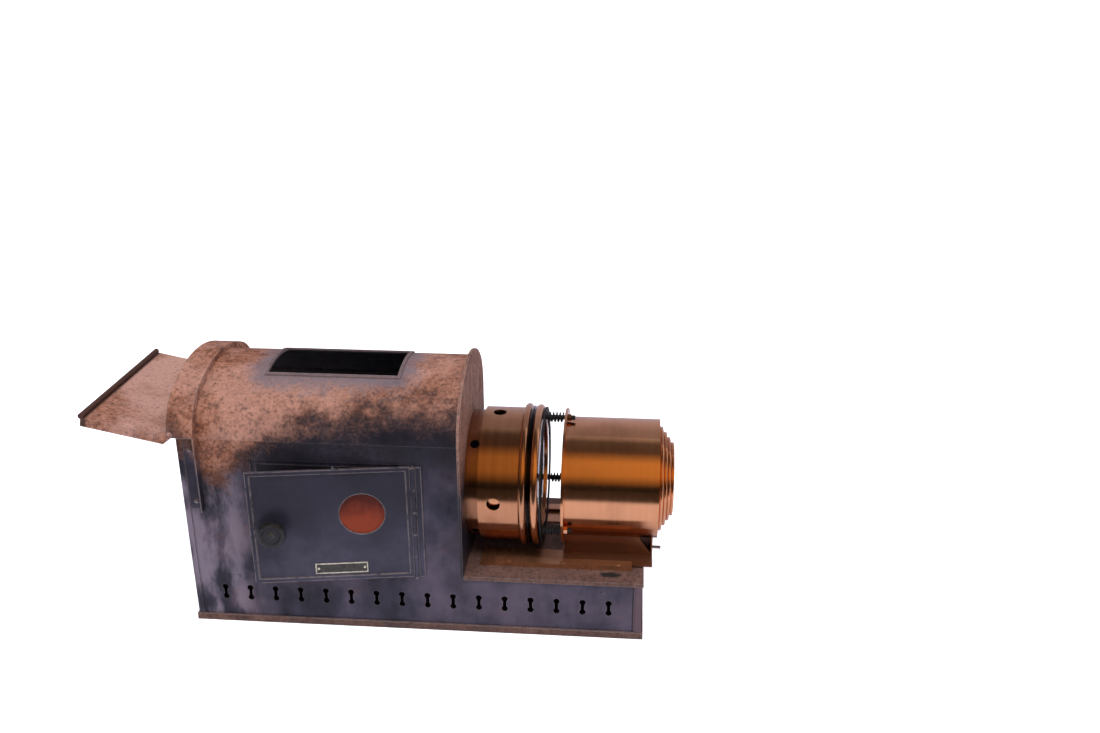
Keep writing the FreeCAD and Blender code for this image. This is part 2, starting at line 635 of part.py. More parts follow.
OUTWARD = V(0, -1, 0)
dish = KNOB_REACH - 1.2
knob = turned(
    [(0, KNOB_SCREW + RUNNING), (0, KNOB_NECK + 1.5), (2.0, KNOB_NECK, -0.4), (KNOB_REACH * 0.42, KNOB_NECK),
     (KNOB_REACH * 0.62, KNOB_RADIUS, -0.8), (KNOB_REACH * 0.8, KNOB_RADIUS, 0.4),
     (KNOB_REACH, KNOB_RADIUS - 1.8, 0.5), (KNOB_REACH, KNOB_RADIUS - 3.6), (dish, KNOB_RADIUS - 4.6),
     (dish, KNOB_SCREW + RUNNING)],
    KNOB_CENTRE, OUTWARD
)
keep_on_door("door_knob", knob)
screw_tail = -SHEET - KNOB_NUT_HEIGHT - 1.0
knob_screw = turned(
    [(screw_tail, 0), (screw_tail, KNOB_SCREW), (dish, KNOB_SCREW), (dish, KNOB_SCREW_HEAD),
     (dish + 1.5, 0, 0.5)],
    KNOB_CENTRE, OUTWARD
)
slot = box(-KNOB_SCREW_HEAD, KNOB_SCREW_HEAD, -0.4, 0.4, 0.8, 2.0)
slot.rotate(V(0, 0, 0), V(1, 0, 0), 90)
slot.translate(KNOB_CENTRE + OUTWARD * dish)
keep_on_door("knob_screw", knob_screw.cut(slot))


def hexagon(radius, start, along, height, bore):
    nut = Part.makeCylinder(radius, height, start, along)
    side = V(0, 0, 1) if abs(along.z) < 0.5 else V(1, 0, 0)
    other = along.cross(side)
    corners = []
    for i in range(6):
        turn = math.radians(60 * i)
        corners.append(start + side * (radius * math.cos(turn)) + other * (radius * math.sin(turn)))
    prism = polygon_face(corners).extrude(along * height)
    return prism.common(nut).cut(rod(bore, start - along, along, height + 2))


NUT_SEAT = KNOB_CENTRE + INWARD * SHEET
keep_on_door("knob_nut", hexagon(KNOB_NUT, NUT_SEAT, INWARD, KNOB_NUT_HEIGHT, KNOB_SCREW + RUNNING))

# Condenser mount: a flanged neck through the front plate, and the vented drum on it
neck_in = NECK_RADIUS - BRASS
neck_front = DRUM_REAR + NECK_SOCKET
neck = on_axis([
    (HOUSE_FRONT - BRASS, neck_in), (HOUSE_FRONT - BRASS, NECK_FLANGE), (HOUSE_FRONT, NECK_FLANGE),
    (HOUSE_FRONT, NECK_RADIUS), (neck_front, NECK_RADIUS), (neck_front, neck_in),
])


def radial_bores(count, first, x, radius, reach):
    bores = []
    for i in range(count):
        turn = math.radians(first + i * 360 / count)
        bores.append(rod(radius, V(x, 0, AXIS_HEIGHT), V(0, math.cos(turn), math.sin(turn)), reach))
    return Part.makeCompound(bores)


neck_vents = radial_bores(4, NECK_VENT_TURN, PLATE_FACE + NECK_VENT_STATION, NECK_VENT, DRUM_RADIUS + 5)
keep("condenser_neck", neck.cut(neck_vents))

drum_in = DRUM_RADIUS - BRASS
bead_rear = DRUM_FRONT - REAR_BEAD_WIDTH
drum = on_axis([
    (DRUM_REAR, NECK_RADIUS + RUNNING), (DRUM_REAR, DRUM_RADIUS), (bead_rear, DRUM_RADIUS),
    (bead_rear, DRUM_RADIUS + 1.5), (DRUM_FRONT, DRUM_RADIUS + 1.5, REAR_BEAD_RADIUS - DRUM_RADIUS - 1.5),
    (DRUM_FRONT, drum_in), (neck_front, drum_in), (neck_front, NECK_RADIUS + RUNNING),
])
drum_vents = radial_bores(4, 0, DRUM_REAR + DRUM_VENT_STATION, DRUM_VENT, DRUM_RADIUS + 10)
keep("condenser_drum", drum.cut(drum_vents))

# Condenser cell: a sleeve with the stage bead, two lenses face to face, their spacer and ring
cell_in = CONDENSER_RADIUS + SLIDING
cell_out = cell_in + BRASS
cell_rear = STAGE_FACE - CELL_DEPTH
cell = on_axis([
    (cell_rear, CELL_LIP), (cell_rear, cell_out), (STAGE_BEAD_REAR, cell_out),
    (STAGE_BEAD_REAR, STAGE_BEAD_RADIUS - 2), (STAGE_FACE, STAGE_BEAD_RADIUS - 2, 2), (STAGE_FACE, cell_in),
    (cell_rear + BRASS, cell_in), (cell_rear + BRASS, CELL_LIP),
])
keep("condenser_cell", cell)

seat_in = cell_out + RUNNING
seat_out = drum_in - RUNNING
collar = STAGE_BEAD_REAR - (CELL_GAP + SEAT_COLLAR_WIDTH) / 2
seat = on_axis([
    (DRUM_FRONT - SEAT_DEPTH, seat_in), (DRUM_FRONT - SEAT_DEPTH, seat_out), (collar, seat_out),
    (collar, SEAT_COLLAR), (collar + SEAT_COLLAR_WIDTH, SEAT_COLLAR), (collar + SEAT_COLLAR_WIDTH, seat_out),
    (STAGE_BEAD_REAR, seat_out), (STAGE_BEAD_REAR, seat_in),
])
keep("cell_seat", seat)


def sag(radius, curve):
    # How far a sphere falls back from its tip at this radius
    return curve - math.sqrt(curve ** 2 - radius ** 2)


def lens(flat, edge, radius, curve, facing):
    # Plano-convex: the flat face at one station, the bulge towards +X or -X
    near = sag(radius / 2, curve)
    rim = flat + facing * edge
    tip = rim + facing * sag(radius, curve)
    z = AXIS_HEIGHT
    points = [V(flat, 0, z), V(flat, 0, z + radius), V(rim, 0, z + radius), V(tip, 0, z)]
    middle = V(tip - facing * near, 0, z + radius / 2)
    edges = [
        Part.LineSegment(points[0], points[1]).toShape(),
        Part.LineSegment(points[1], points[2]).toShape(),
        Part.Arc(points[2], middle, points[3]).toShape(),
        Part.LineSegment(points[3], points[0]).toShape(),
    ]
    return Part.Face(Part.Wire(edges)).revolve(V(0, 0, z), FORWARD, 360)


rear_flat = cell_rear + BRASS + RUNNING
front_flat = STAGE_FACE - RETAINER_WIDTH - SLIDING
keep("condenser_rear_lens", lens(rear_flat, CONDENSER_EDGE, CONDENSER_RADIUS, CONDENSER_CURVE, 1))
keep("condenser_front_lens", lens(front_flat, CONDENSER_EDGE, CONDENSER_RADIUS, CONDENSER_CURVE, -1))
ring_in = CONDENSER_RADIUS - BRASS
seat_rise = sag(CONDENSER_RADIUS, CONDENSER_CURVE) - sag(ring_in, CONDENSER_CURVE)
spacer_rear = rear_flat + CONDENSER_EDGE + seat_rise + RUNNING
spacer_front = front_flat - CONDENSER_EDGE - seat_rise - RUNNING
keep("condenser_spacer", tube(
    CONDENSER_RADIUS + RUNNING, ring_in, V(spacer_rear, 0, AXIS_HEIGHT), FORWARD, spacer_front - spacer_rear
))
keep("condenser_ring", tube(
    CONDENSER_RADIUS + RUNNING, CELL_LIP, V(front_flat + RUNNING, 0, AXIS_HEIGHT), FORWARD, RETAINER_WIDTH
))

# Sprung pressure plate: posts riveted to it slide through the flange, springs around them
POST_TURNS = [math.radians(POST_TURN + i * 360 / POST_COUNT) for i in range(POST_COUNT)]


def post_point(i, x):
    turn = POST_TURNS[i]
    return V(x, POST_CIRCLE * math.cos(turn), AXIS_HEIGHT + POST_CIRCLE * math.sin(turn))


def post_bores(radius, x0, x1):
    return Part.makeCompound([rod(radius, post_point(i, x0), FORWARD, x1 - x0) for i in range(POST_COUNT)])


plate_centre = V(PRESSURE_REAR, 0, AXIS_HEIGHT)
pressure = tube(PRESSURE_RADIUS, PRESSURE_APERTURE, plate_centre, FORWARD, PRESSURE_THICKNESS)
pressure = pressure.cut(post_bores(POST_RADIUS + RUNNING, PRESSURE_REAR - 1, PRESSURE_FACE + 1))
keep("pressure_plate", pressure)
post_end = FLANGE_FACE + POST_TAIL
posts = []
nuts = []
for i in range(POST_COUNT):
    head_x = PRESSURE_REAR - POST_HEAD_HEIGHT
    posts.append(turned(
        [(head_x, 0), (head_x, POST_HEAD - 0.5), (PRESSURE_REAR, POST_HEAD), (PRESSURE_REAR, POST_RADIUS),
         (post_end - 0.5, POST_RADIUS), (post_end, POST_RADIUS - 0.5), (post_end, 0)],
        post_point(i, 0), FORWARD
    ))
    nuts.append(hexagon(
        NUT_RADIUS, post_point(i, FLANGE_FACE + SLIDING), FORWARD, NUT_HEIGHT, POST_RADIUS + RUNNING
    ))
keep("stage_posts", posts)
keep("post_nuts", nuts)


# Coil springs: a helix drawn as pairs of tangent arcs, two pairs to the turn
def arc_between(start, corner, end):
    chord = (start + end) * 0.5
    half = (end - start).Length / 2
    lift = (corner - chord).Length
    angle = math.atan2(lift, half)
    middle = chord + (corner - chord) * (math.tan(angle / 2) / math.tan(angle))
    return Part.Arc(start, middle, end).toShape()


def arc_pair(p0, t0, p1, t1):
    span = p1 - p0
    both = t0 + t1
    bend = 2 * (1 - t0.dot(t1))
    reach = (-span.dot(both) + math.sqrt(span.dot(both) ** 2 + bend * span.dot(span))) / bend
    q0 = p0 + t0 * reach
    q1 = p1 - t1 * reach
    joint = (q0 + q1) * 0.5
    return [arc_between(p0, q0, joint), arc_between(joint, q1, p1)]


coil_run = SPRING_ROOM - SPRING_WIRE - 2 * RUNNING
coil_pitch = coil_run / SPRING_TURNS


def coil_point(i, turn):
    start = post_point(i, PRESSURE_FACE + RUNNING + SPRING_WIRE / 2)
    around = V(0, math.cos(turn), math.sin(turn)) * SPRING_RADIUS
    return start + around + FORWARD * (coil_pitch * turn / (2 * math.pi))


def coil_heading(turn):
    heading = V(coil_pitch / (2 * math.pi), -SPRING_RADIUS * math.sin(turn), SPRING_RADIUS * math.cos(turn))
    return heading.normalize()


def spring(i):
    edges = []
    for half_turn in range(2 * SPRING_TURNS):
        a = half_turn * math.pi
        b = a + math.pi
        edges += arc_pair(coil_point(i, a), coil_heading(a), coil_point(i, b), coil_heading(b))
    ring = Part.Wire(Part.makeCircle(SPRING_WIRE / 2, coil_point(i, 0), coil_heading(0)))
    return Part.Wire(edges).makePipeShell([ring], True, False), edges


springs = []
for i in range(POST_COUNT):
    coil, coil_edges = spring(i)
    springs.append(coil)
points = []
for edge in coil_edges:
    points += edge.discretize(9)[:-1]
turn_points = len(points) // SPRING_TURNS
least = min(
    (points[m] - points[n]).Length
    for m in range(len(points))
    for n in range(m + turn_points // 2, len(points))
)
print("least gap of a spring to itself: %.2f mm" % (least - SPRING_WIRE))
keep("stage_springs", springs)

# Lens front: flange, jacket, and four draw tubes that nest in it
flange_bore = JACKET_RADIUS - BRASS
flange_ring = tube(FLANGE_RADIUS, flange_bore, V(FLANGE_REAR, 0, AXIS_HEIGHT), FORWARD, FLANGE_THICKNESS)
keep("stage_flange", flange_ring.cut(post_bores(POST_RADIUS + RUNNING, FLANGE_REAR - 1, FLANGE_FACE + 1)))


def draw_outer(i):
    return DRAW_RADIUS - i * DRAW_RADIUS_STEP


jacket_in = JACKET_RADIUS - BRASS
jacket = on_axis([
    (FLANGE_FACE, jacket_in), (FLANGE_FACE, JACKET_RADIUS), (JACKET_FRONT, JACKET_RADIUS),
    (JACKET_FRONT, draw_outer(0) + RUNNING), (JACKET_FRONT - GUIDE_WIDTH, draw_outer(0) + RUNNING),
    (JACKET_FRONT - GUIDE_WIDTH, jacket_in),
])
keep("lens_jacket", jacket)
around = jacket_in
mouth = JACKET_FRONT
for i in range(DRAW_COUNT):
    outer = draw_outer(i)
    inner = outer - DRAW_WALL
    last = i == DRAW_COUNT - 1
    lip_in = OBJECTIVE_RADIUS + RUNNING if last else draw_outer(i + 1) + RUNNING
    rear_x = FLANGE_FACE + DRAW_REAR_SETBACK + i * DRAW_REAR_STEP
    mouth += DRAW_STEP
    keep("draw_tube_%d" % (i + 1), on_axis([
        (rear_x, inner), (rear_x, around - RUNNING), (rear_x + GUIDE_WIDTH, around - RUNNING),
        (rear_x + GUIDE_WIDTH, outer), (mouth - DRAW_BEAD_WIDTH, outer), (mouth, outer, DRAW_BEAD),
        (mouth, lip_in), (mouth - GUIDE_WIDTH, lip_in), (mouth - GUIDE_WIDTH, inner),
    ]))
    around = inner

# Objective: a barrel held in the mouth of the last draw tube, with a lens and a ring at each end
barrel_front = mouth - OBJECTIVE_RECESS
barrel_rear = barrel_front - OBJECTIVE_LENGTH
barrel_in = OBJECTIVE_RADIUS - OBJECTIVE_WALL
step_in = barrel_in - OBJECTIVE_STEP
step_rise = sag(barrel_in, OBJECTIVE_CURVE) - sag(step_in, OBJECTIVE_CURVE)
seat_depth = OBJECTIVE_RING + OBJECTIVE_LENS_EDGE + step_rise + 2 * RUNNING
seat_front = barrel_front - seat_depth
seat_rear = barrel_rear + seat_depth
keep("objective_barrel", on_axis([
    (barrel_rear, barrel_in), (barrel_rear, OBJECTIVE_RADIUS), (barrel_front, OBJECTIVE_RADIUS),
    (barrel_front, barrel_in), (seat_front, barrel_in), (seat_front, step_in), (seat_rear, step_in),
    (seat_rear, barrel_in),
]))
glass = barrel_in - RUNNING
keep("objective_front_lens", lens(
    barrel_front - OBJECTIVE_RING - RUNNING, OBJECTIVE_LENS_EDGE, glass, OBJECTIVE_CURVE, -1
))
keep("objective_rear_lens", lens(
    barrel_rear + OBJECTIVE_RING + RUNNING, OBJECTIVE_LENS_EDGE, glass, OBJECTIVE_CURVE, 1
))
keep("objective_rings", [
    tube(glass, step_in, V(x, 0, AXIS_HEIGHT), FORWARD, OBJECTIVE_RING)
    for x in (barrel_front - OBJECTIVE_RING, barrel_rear)
])

# Bed on the deck, its guide strips and their screws
BED_REAR = DRUM_REAR
BED_FRONT = BED_REAR + BED_LENGTH
foot_top = BED_TOP + SLIDING + SADDLE_SHEET
guide_top = foot_top + SLIDING + GUIDE_SHEET
guide_x0 = BED_REAR + BED_SCREW_INSET
SCREW_Y = (SADDLE_FOOT + SLIDING + BED_HALF_WIDTH) / 2
SCREW_STATIONS = [guide_x0 + BED_SCREW_INSET, (guide_x0 + BED_FRONT) / 2, BED_FRONT - BED_SCREW_INSET]
screw_points = [V(x, -SCREW_Y, DECK_HEIGHT - SHEET - 1) for x in SCREW_STATIONS]
near_bores = [rod(BED_SCREW + RUNNING, point, UP, 12) for point in screw_points]
bed_bores = Part.makeCompound(near_bores + [mirror(bore) for bore in near_bores])
bed = box(BED_REAR, BED_FRONT, -BED_HALF_WIDTH, BED_HALF_WIDTH, DECK_HEIGHT, BED_TOP)
notch = box(BED_REAR - 1, FLANGE_REAR, -BED_NOTCH, BED_NOTCH, DECK_HEIGHT - 1, BED_TOP + 1)
keep("bed_plate", bed.cut(bed_bores).cut(notch))
guide_wall = box(guide_x0, BED_FRONT, -BED_HALF_WIDTH, -SADDLE_FOOT - SLIDING, BED_TOP, guide_top)
lip_y = -SADDLE_FOOT + GUIDE_LAP
guide_lip = box(guide_x0, BED_FRONT, -BED_HALF_WIDTH, lip_y, foot_top + SLIDING, guide_top)
guide = fuse([guide_wall, guide_lip]).cut(bed_bores)
keep("bed_guides", [guide, mirror(guide)])


def bed_screw(x):
    grip = guide_top - DECK_HEIGHT
    body = turned(
        [(0, 0), (0, BED_SCREW), (grip, BED_SCREW), (grip, BED_SCREW_HEAD),
         (grip + BED_SCREW_HEIGHT, 0, 0.4)],
        V(x, -SCREW_Y, DECK_HEIGHT), UP
    )
    top = guide_top + BED_SCREW_HEIGHT
    half = SCREW_SLOT / 2
    slot_low = top - SCREW_SLOT
    slot = box(x - BED_SCREW_HEAD, x + BED_SCREW_HEAD, -SCREW_Y - half, -SCREW_Y + half, slot_low, top + 1)
    return body.cut(slot)


bed_screws = [bed_screw(x) for x in SCREW_STATIONS]
keep("bed_screws", bed_screws + [mirror(screw) for screw in bed_screws])

# Saddle: folded brass that carries the jacket and slides on the bed
saddle_x0 = FLANGE_FACE
saddle_x1 = JACKET_FRONT - SADDLE_OVERRUN
foot_low = BED_TOP + SLIDING
foot = box(saddle_x0, saddle_x1, -SADDLE_FOOT, SADDLE_FOOT, foot_low, foot_top)
cheek_in = -SADDLE_HALF_WIDTH + SADDLE_SHEET
cheek = box(saddle_x0, saddle_x1, -SADDLE_HALF_WIDTH, cheek_in, foot_top, AXIS_HEIGHT)
drum_drop = math.sqrt(JACKET_RADIUS ** 2 - SADDLE_HALF_WIDTH ** 2)
cheek_top = AXIS_HEIGHT - drum_drop
corner_cut = polygon_face([
    V(saddle_x1 - SADDLE_CUT, -SADDLE_HALF_WIDTH - 1, AXIS_HEIGHT + 1),
    V(saddle_x1 - SADDLE_CUT, -SADDLE_HALF_WIDTH - 1, cheek_top - 2),
    V(saddle_x1 - SADDLE_SHEET, -SADDLE_HALF_WIDTH - 1, foot_top + 1),
    V(saddle_x1 - SADDLE_SHEET, -SADDLE_HALF_WIDTH - 1, AXIS_HEIGHT + 1),
]).extrude(V(0, SADDLE_SHEET + 2, 0))
cheek = cheek.cut(corner_cut)
front_wall = box(
    saddle_x1 - SADDLE_SHEET, saddle_x1, -SADDLE_HALF_WIDTH, SADDLE_HALF_WIDTH, foot_top, AXIS_HEIGHT
)
rear_wall = box(
    saddle_x0, saddle_x0 + SADDLE_SHEET, -SADDLE_HALF_WIDTH, SADDLE_HALF_WIDTH, foot_top, AXIS_HEIGHT
)
saddle = fuse([foot, cheek, mirror(cheek), front_wall, rear_wall])
jacket_start = V(saddle_x0 - 1, 0, AXIS_HEIGHT)
saddle = saddle.cut(rod(JACKET_RADIUS + RUNNING, jacket_start, FORWARD, JACKET_LENGTH + 5))
above = box(saddle_x0 - 1, saddle_x1 + 1, -SADDLE_FOOT, SADDLE_FOOT, cheek_top + 0.5, AXIS_HEIGHT + 1)
saddle = saddle.cut(above)
peg_start = V(saddle_x1 - SADDLE_SHEET, -PEG_OFFSET, BED_TOP + PEG_RISE)
keep("saddle", saddle.cut(rod(PEG_RADIUS + RUNNING, peg_start - FORWARD, FORWARD, SADDLE_SHEET + 2)))
keep("front_peg", rod(PEG_RADIUS, peg_start, FORWARD, PEG_LENGTH + SADDLE_SHEET))

# Lamp: a tray on runners, its pillar, and the bracket that carries lampholder, bulb and reflector
tray_low = LAMP_FLOOR_HEIGHT + SLIDING
tray_top = tray_low + TRAY_SHEET
tray_x0 = REAR + TRAY_START
runner_y = TRAY_HALF_WIDTH + SLIDING
runner_top = LAMP_FLOOR_HEIGHT + RUNNER_HEIGHT
runner_x1 = HOUSE_FRONT - SEAM_LAP
runner = fuse([
    box(tray_x0, runner_x1, -runner_y - RUNNER_SHEET, -runner_y, LAMP_FLOOR_HEIGHT, runner_top),
    box(tray_x0, runner_x1, -runner_y, -runner_y + RUNNER_LAP, runner_top - RUNNER_SHEET, runner_top),
])
keep("tray_runners", [runner, mirror(runner)])

PILLAR_FOOT = V(REAR + PILLAR_X, 0, tray_low)
tray = box(tray_x0, tray_x0 + TRAY_LENGTH, -TRAY_HALF_WIDTH, TRAY_HALF_WIDTH, tray_low, tray_top)
half_tab = TRAY_TAB_WIDTH / 2
tab = box(tray_x0, tray_x0 + TRAY_SHEET, -half_tab, half_tab, tray_top, tray_top + TRAY_TAB_HEIGHT)
boss = rod(SLEEVE_RADIUS, PILLAR_FOOT, UP, TRAY_SHEET + 5)
tray = fuse([tray, tab, boss]).cut(rod(PILLAR_RADIUS + RUNNING, PILLAR_FOOT - UP, UP, PILLAR_HEIGHT))
keep("lamp_tray", tray)
keep("lamp_pillar", rod(PILLAR_RADIUS, PILLAR_FOOT, UP, PILLAR_HEIGHT))

SLEEVE_FOOT = V(REAR + PILLAR_X, 0, SLEEVE_HEIGHT)
LAMP_FOOT = V(REAR + LAMP_X, 0, SLEEVE_HEIGHT)
half_arm = ARM_WIDTH / 2
sleeve = rod(SLEEVE_RADIUS, SLEEVE_FOOT, UP, SLEEVE_LENGTH)
arm = box(SLEEVE_FOOT.x, LAMP_FOOT.x, -half_arm, half_arm, SLEEVE_HEIGHT, SLEEVE_HEIGHT + ARM_THICKNESS)
pad = rod(HOLDER_RADIUS, LAMP_FOOT, UP, ARM_THICKNESS)
REFLECTOR_X = LAMP_FOOT.x - REFLECTOR_SETBACK
stem = box(
    REFLECTOR_X - 3.0, REFLECTOR_X - 1.0, -half_arm / 2, half_arm / 2, SLEEVE_HEIGHT + ARM_THICKNESS,
    AXIS_HEIGHT
)
CLAMP_POINT = SLEEVE_FOOT + UP * (SLEEVE_LENGTH / 2)
clamp_bore = rod(CLAMP_RADIUS + RUNNING, CLAMP_POINT, V(-1, 0, 0), SLEEVE_RADIUS + 5)
bracket = fuse([sleeve, arm, pad, stem])
bracket = bracket.cut(rod(PILLAR_RADIUS + RUNNING, SLEEVE_FOOT - UP, UP, SLEEVE_LENGTH + 2)).cut(clamp_bore)
keep("lamp_bracket", bracket)

clamp_tip = PILLAR_RADIUS + SLIDING
clamp_face = SLEEVE_RADIUS + 2.0
keep("bracket_screw", turned(
    [(clamp_tip, 0), (clamp_tip, CLAMP_RADIUS), (clamp_face, CLAMP_RADIUS), (clamp_face, CLAMP_HEAD),
     (clamp_face + 4.0, CLAMP_HEAD), (clamp_face + 4.0, 0)],
    CLAMP_POINT, V(-1, 0, 0)
))

HOLDER_FOOT = LAMP_FOOT + UP * ARM_THICKNESS
holder_out = BULB_NECK + HOLDER_WALL
holder_in = BULB_NECK + RUNNING
keep("lampholder", turned(
    [(0, 0), (0, HOLDER_RADIUS), (4.0, HOLDER_RADIUS), (6.0, holder_out), (HOLDER_HEIGHT, holder_out),
     (HOLDER_HEIGHT, holder_in), (HOLDER_FLOOR, holder_in), (HOLDER_FLOOR, 0)],
    HOLDER_FOOT, UP
))
globe = AXIS_HEIGHT - HOLDER_FOOT.z
cap_low = HOLDER_FLOOR + RUNNING
bulb = rod(BULB_NECK, HOLDER_FOOT + UP * cap_low, UP, globe - cap_low)
bulb = bulb.fuse(Part.makeSphere(BULB_RADIUS, HOLDER_FOOT + UP * globe))
keep("lamp_bulb", bulb.removeSplitter())

dish_sag = sag(REFLECTOR_RADIUS, REFLECTOR_CURVE)
dish_mid = sag(REFLECTOR_RADIUS / 2, REFLECTOR_CURVE)


def dish_curve(x):
    middle = V(x + dish_mid, 0, AXIS_HEIGHT + REFLECTOR_RADIUS / 2)
    edge = V(x + dish_sag, 0, AXIS_HEIGHT + REFLECTOR_RADIUS)
    return Part.Arc(V(x, 0, AXIS_HEIGHT), middle, edge).toShape()


back_x = REFLECTOR_X - 1.0
face_x = back_x + SHEET
rim_back = V(back_x + dish_sag, 0, AXIS_HEIGHT + REFLECTOR_RADIUS)
rim_face = rim_back + FORWARD * SHEET
dish_wire = Part.Wire([
    dish_curve(back_x),
    Part.LineSegment(rim_back, rim_face).toShape(),
    dish_curve(face_x),
    Part.LineSegment(V(face_x, 0, AXIS_HEIGHT), V(back_x, 0, AXIS_HEIGHT)).toShape(),
])
keep("lamp_reflector", Part.Face(dish_wire).revolve(V(0, 0, AXIS_HEIGHT), FORWARD, 360))
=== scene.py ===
import json
import math
import bpy
from mathutils import Matrix, Vector


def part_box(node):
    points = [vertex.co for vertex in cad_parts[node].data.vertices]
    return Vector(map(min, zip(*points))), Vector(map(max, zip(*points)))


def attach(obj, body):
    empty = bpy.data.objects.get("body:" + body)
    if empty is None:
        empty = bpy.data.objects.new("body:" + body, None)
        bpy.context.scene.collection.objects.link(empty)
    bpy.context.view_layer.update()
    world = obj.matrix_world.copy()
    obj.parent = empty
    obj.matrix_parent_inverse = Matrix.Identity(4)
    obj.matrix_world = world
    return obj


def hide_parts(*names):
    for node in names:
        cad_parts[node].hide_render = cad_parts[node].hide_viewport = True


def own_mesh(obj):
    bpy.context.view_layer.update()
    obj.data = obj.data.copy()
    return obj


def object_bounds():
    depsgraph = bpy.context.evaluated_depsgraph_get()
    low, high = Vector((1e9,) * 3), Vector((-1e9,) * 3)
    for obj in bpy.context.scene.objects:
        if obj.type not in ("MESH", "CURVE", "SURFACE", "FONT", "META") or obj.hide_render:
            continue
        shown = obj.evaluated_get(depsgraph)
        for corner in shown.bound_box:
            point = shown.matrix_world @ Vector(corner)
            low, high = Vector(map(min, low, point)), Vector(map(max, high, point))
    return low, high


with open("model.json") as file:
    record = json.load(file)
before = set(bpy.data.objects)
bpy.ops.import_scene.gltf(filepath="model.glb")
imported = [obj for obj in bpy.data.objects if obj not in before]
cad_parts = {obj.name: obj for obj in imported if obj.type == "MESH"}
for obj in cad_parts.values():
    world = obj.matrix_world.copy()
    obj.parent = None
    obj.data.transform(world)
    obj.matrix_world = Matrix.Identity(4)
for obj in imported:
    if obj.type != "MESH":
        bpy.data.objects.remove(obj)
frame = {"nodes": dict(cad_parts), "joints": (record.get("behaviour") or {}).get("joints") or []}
cad_low, cad_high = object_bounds()

# House walls and plinth ends: blued sheet iron, folded and seamed by hand.
# Heat and damp have browned the top, so the rust thins out in clouds towards the plinth.
# The rear end, where the lamp went in, is flecked and has lilac patches of painted sheen, and the
# insides are painted near-black as painted shade.


def wire(tree, kind, inputs, **settings):
    made = tree.nodes.new("ShaderNode" + kind)
    for name, value in settings.items():
        setattr(made, name, value)
    for key, value in inputs.items():
        if isinstance(value, bpy.types.NodeSocket):
            tree.links.new(value, made.inputs[key])
        else:
            made.inputs[key].default_value = value
    return made.outputs[0]


def math_of(tree, operation, a, b=0.0):
    return wire(tree, "Math", {0: a, 1: b}, operation=operation)


def product(tree, first, *others):
    for other in others:
        first = math_of(tree, "MULTIPLY", first, other)
    return first


def total(tree, first, *others):
    for other in others:
        first = math_of(tree, "ADD", first, other)
    return first


def vector_of(tree, operation, first, second=(0.0, 0.0, 0.0)):
    outputs = wire(tree, "VectorMath", {0: first, 1: second}, operation=operation).node.outputs
    return outputs["Value" if operation in ("LENGTH", "DOT_PRODUCT") else "Vector"]


def spread(tree, value, low, high, start=0.0, end=1.0):
    return wire(
        tree, "MapRange",
        {"Value": value, "From Min": low, "From Max": high, "To Min": start, "To Max": end},
        interpolation_type="SMOOTHSTEP",
    )


def vary(tree, noise, start, end):
    return spread(tree, noise, 0.3, 0.7, start, end)


def blend_of(tree, share, first, second, blend_type="MIX"):
    return wire(tree, "MixRGB", {"Fac": share, "Color1": first, "Color2": second}, blend_type=blend_type)


def cover(tree, share, skin, colour):
    return blend_of(tree, share, skin, (*colour, 1.0))


def ramp(tree, value, stops):
    shade = wire(tree, "ValToRGB", {"Fac": value})
    elements = shade.node.color_ramp.elements
    while len(elements) < len(stops):
        elements.new(0.5)
    for element, (place, colour) in zip(elements, stops):
        element.position = place
        element.color = (*colour, 1.0)
    return shade


def mean_of(tree, first, second, share):
    return total(tree, product(tree, first, 1.0 - share), product(tree, second, share))


def axis_of(tree, vector, axis):
    return wire(tree, "SeparateXYZ", {"Vector": vector}).node.outputs[axis]


def cloud(tree, vector, scale, detail, roughness=0.6):
    return wire(
        tree, "TexNoise", {"Vector": vector, "Scale": scale, "Detail": detail, "Roughness": roughness}
    )


def new_group(name, inputs, outputs):
    tree = bpy.data.node_groups.new(name, "ShaderNodeTree")
    for label, value in inputs:
        kind = "NodeSocketColor" if isinstance(value, tuple) else "NodeSocketFloat"
        socket = tree.interface.new_socket(label, in_out="INPUT", socket_type=kind)
        socket.default_value = value
    for label, kind in outputs:
        tree.interface.new_socket(label, in_out="OUTPUT", socket_type=kind)
    entry = tree.nodes.new("NodeGroupInput")
    leave = tree.nodes.new("NodeGroupOutput")
    return tree, entry.outputs, leave.inputs


def object_place(tree):
    return wire(tree, "TexCoord", {}).node.outputs["Object"]


def new_material(name):
    material = bpy.data.materials.new(name)
    material.use_nodes = True
    tree = material.node_tree
    return material, tree, tree.nodes["Principled BSDF"].inputs


def bump(tree, height, strength, distance):
    return wire(tree, "Bump", {"Height": height, "Strength": strength, "Distance": distance})


def dress(material, *names):
    for name in names:
        for slot in frame["nodes"][name].material_slots:
            slot.material = material


BLUE_DEEP = (0.012, 0.011, 0.018)
BLUE_MID = (0.034, 0.031, 0.052)
BLUE_PALE = (0.082, 0.070, 0.106)
PLUM = (0.115, 0.072, 0.088)
SMUDGE = (0.036, 0.022, 0.024)
PAINTED_SHADE_BROWN = (0.070, 0.050, 0.049)
LILAC_SHEEN = (0.220, 0.178, 0.225)
RUST_DARK = (0.075, 0.034, 0.026)
RUST_BROWN = (0.120, 0.046, 0.030)
RUST_ORANGE = (0.240, 0.088, 0.046)
RUST_TAN = (0.400, 0.190, 0.130)
RUST_PINK = (0.500, 0.280, 0.225)
SOOT_AND_SHADE = (0.015, 0.013, 0.018)
HALO = (0.150, 0.125, 0.150)
RUST_LINE = [(0.0, 0.150), (0.10, 0.118), (0.17, 0.126), (0.26, 0.164), (0.38, 0.182), (0.70, 0.185),
             (0.86, 0.188), (1.0, 0.186)]
roof_low, roof_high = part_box("roof_panel")
HOUSE_REAR = roof_low.x
HOUSE_FRONT = roof_high.x
HOUSE_MIDDLE = (0.0, 0.0, 0.12)
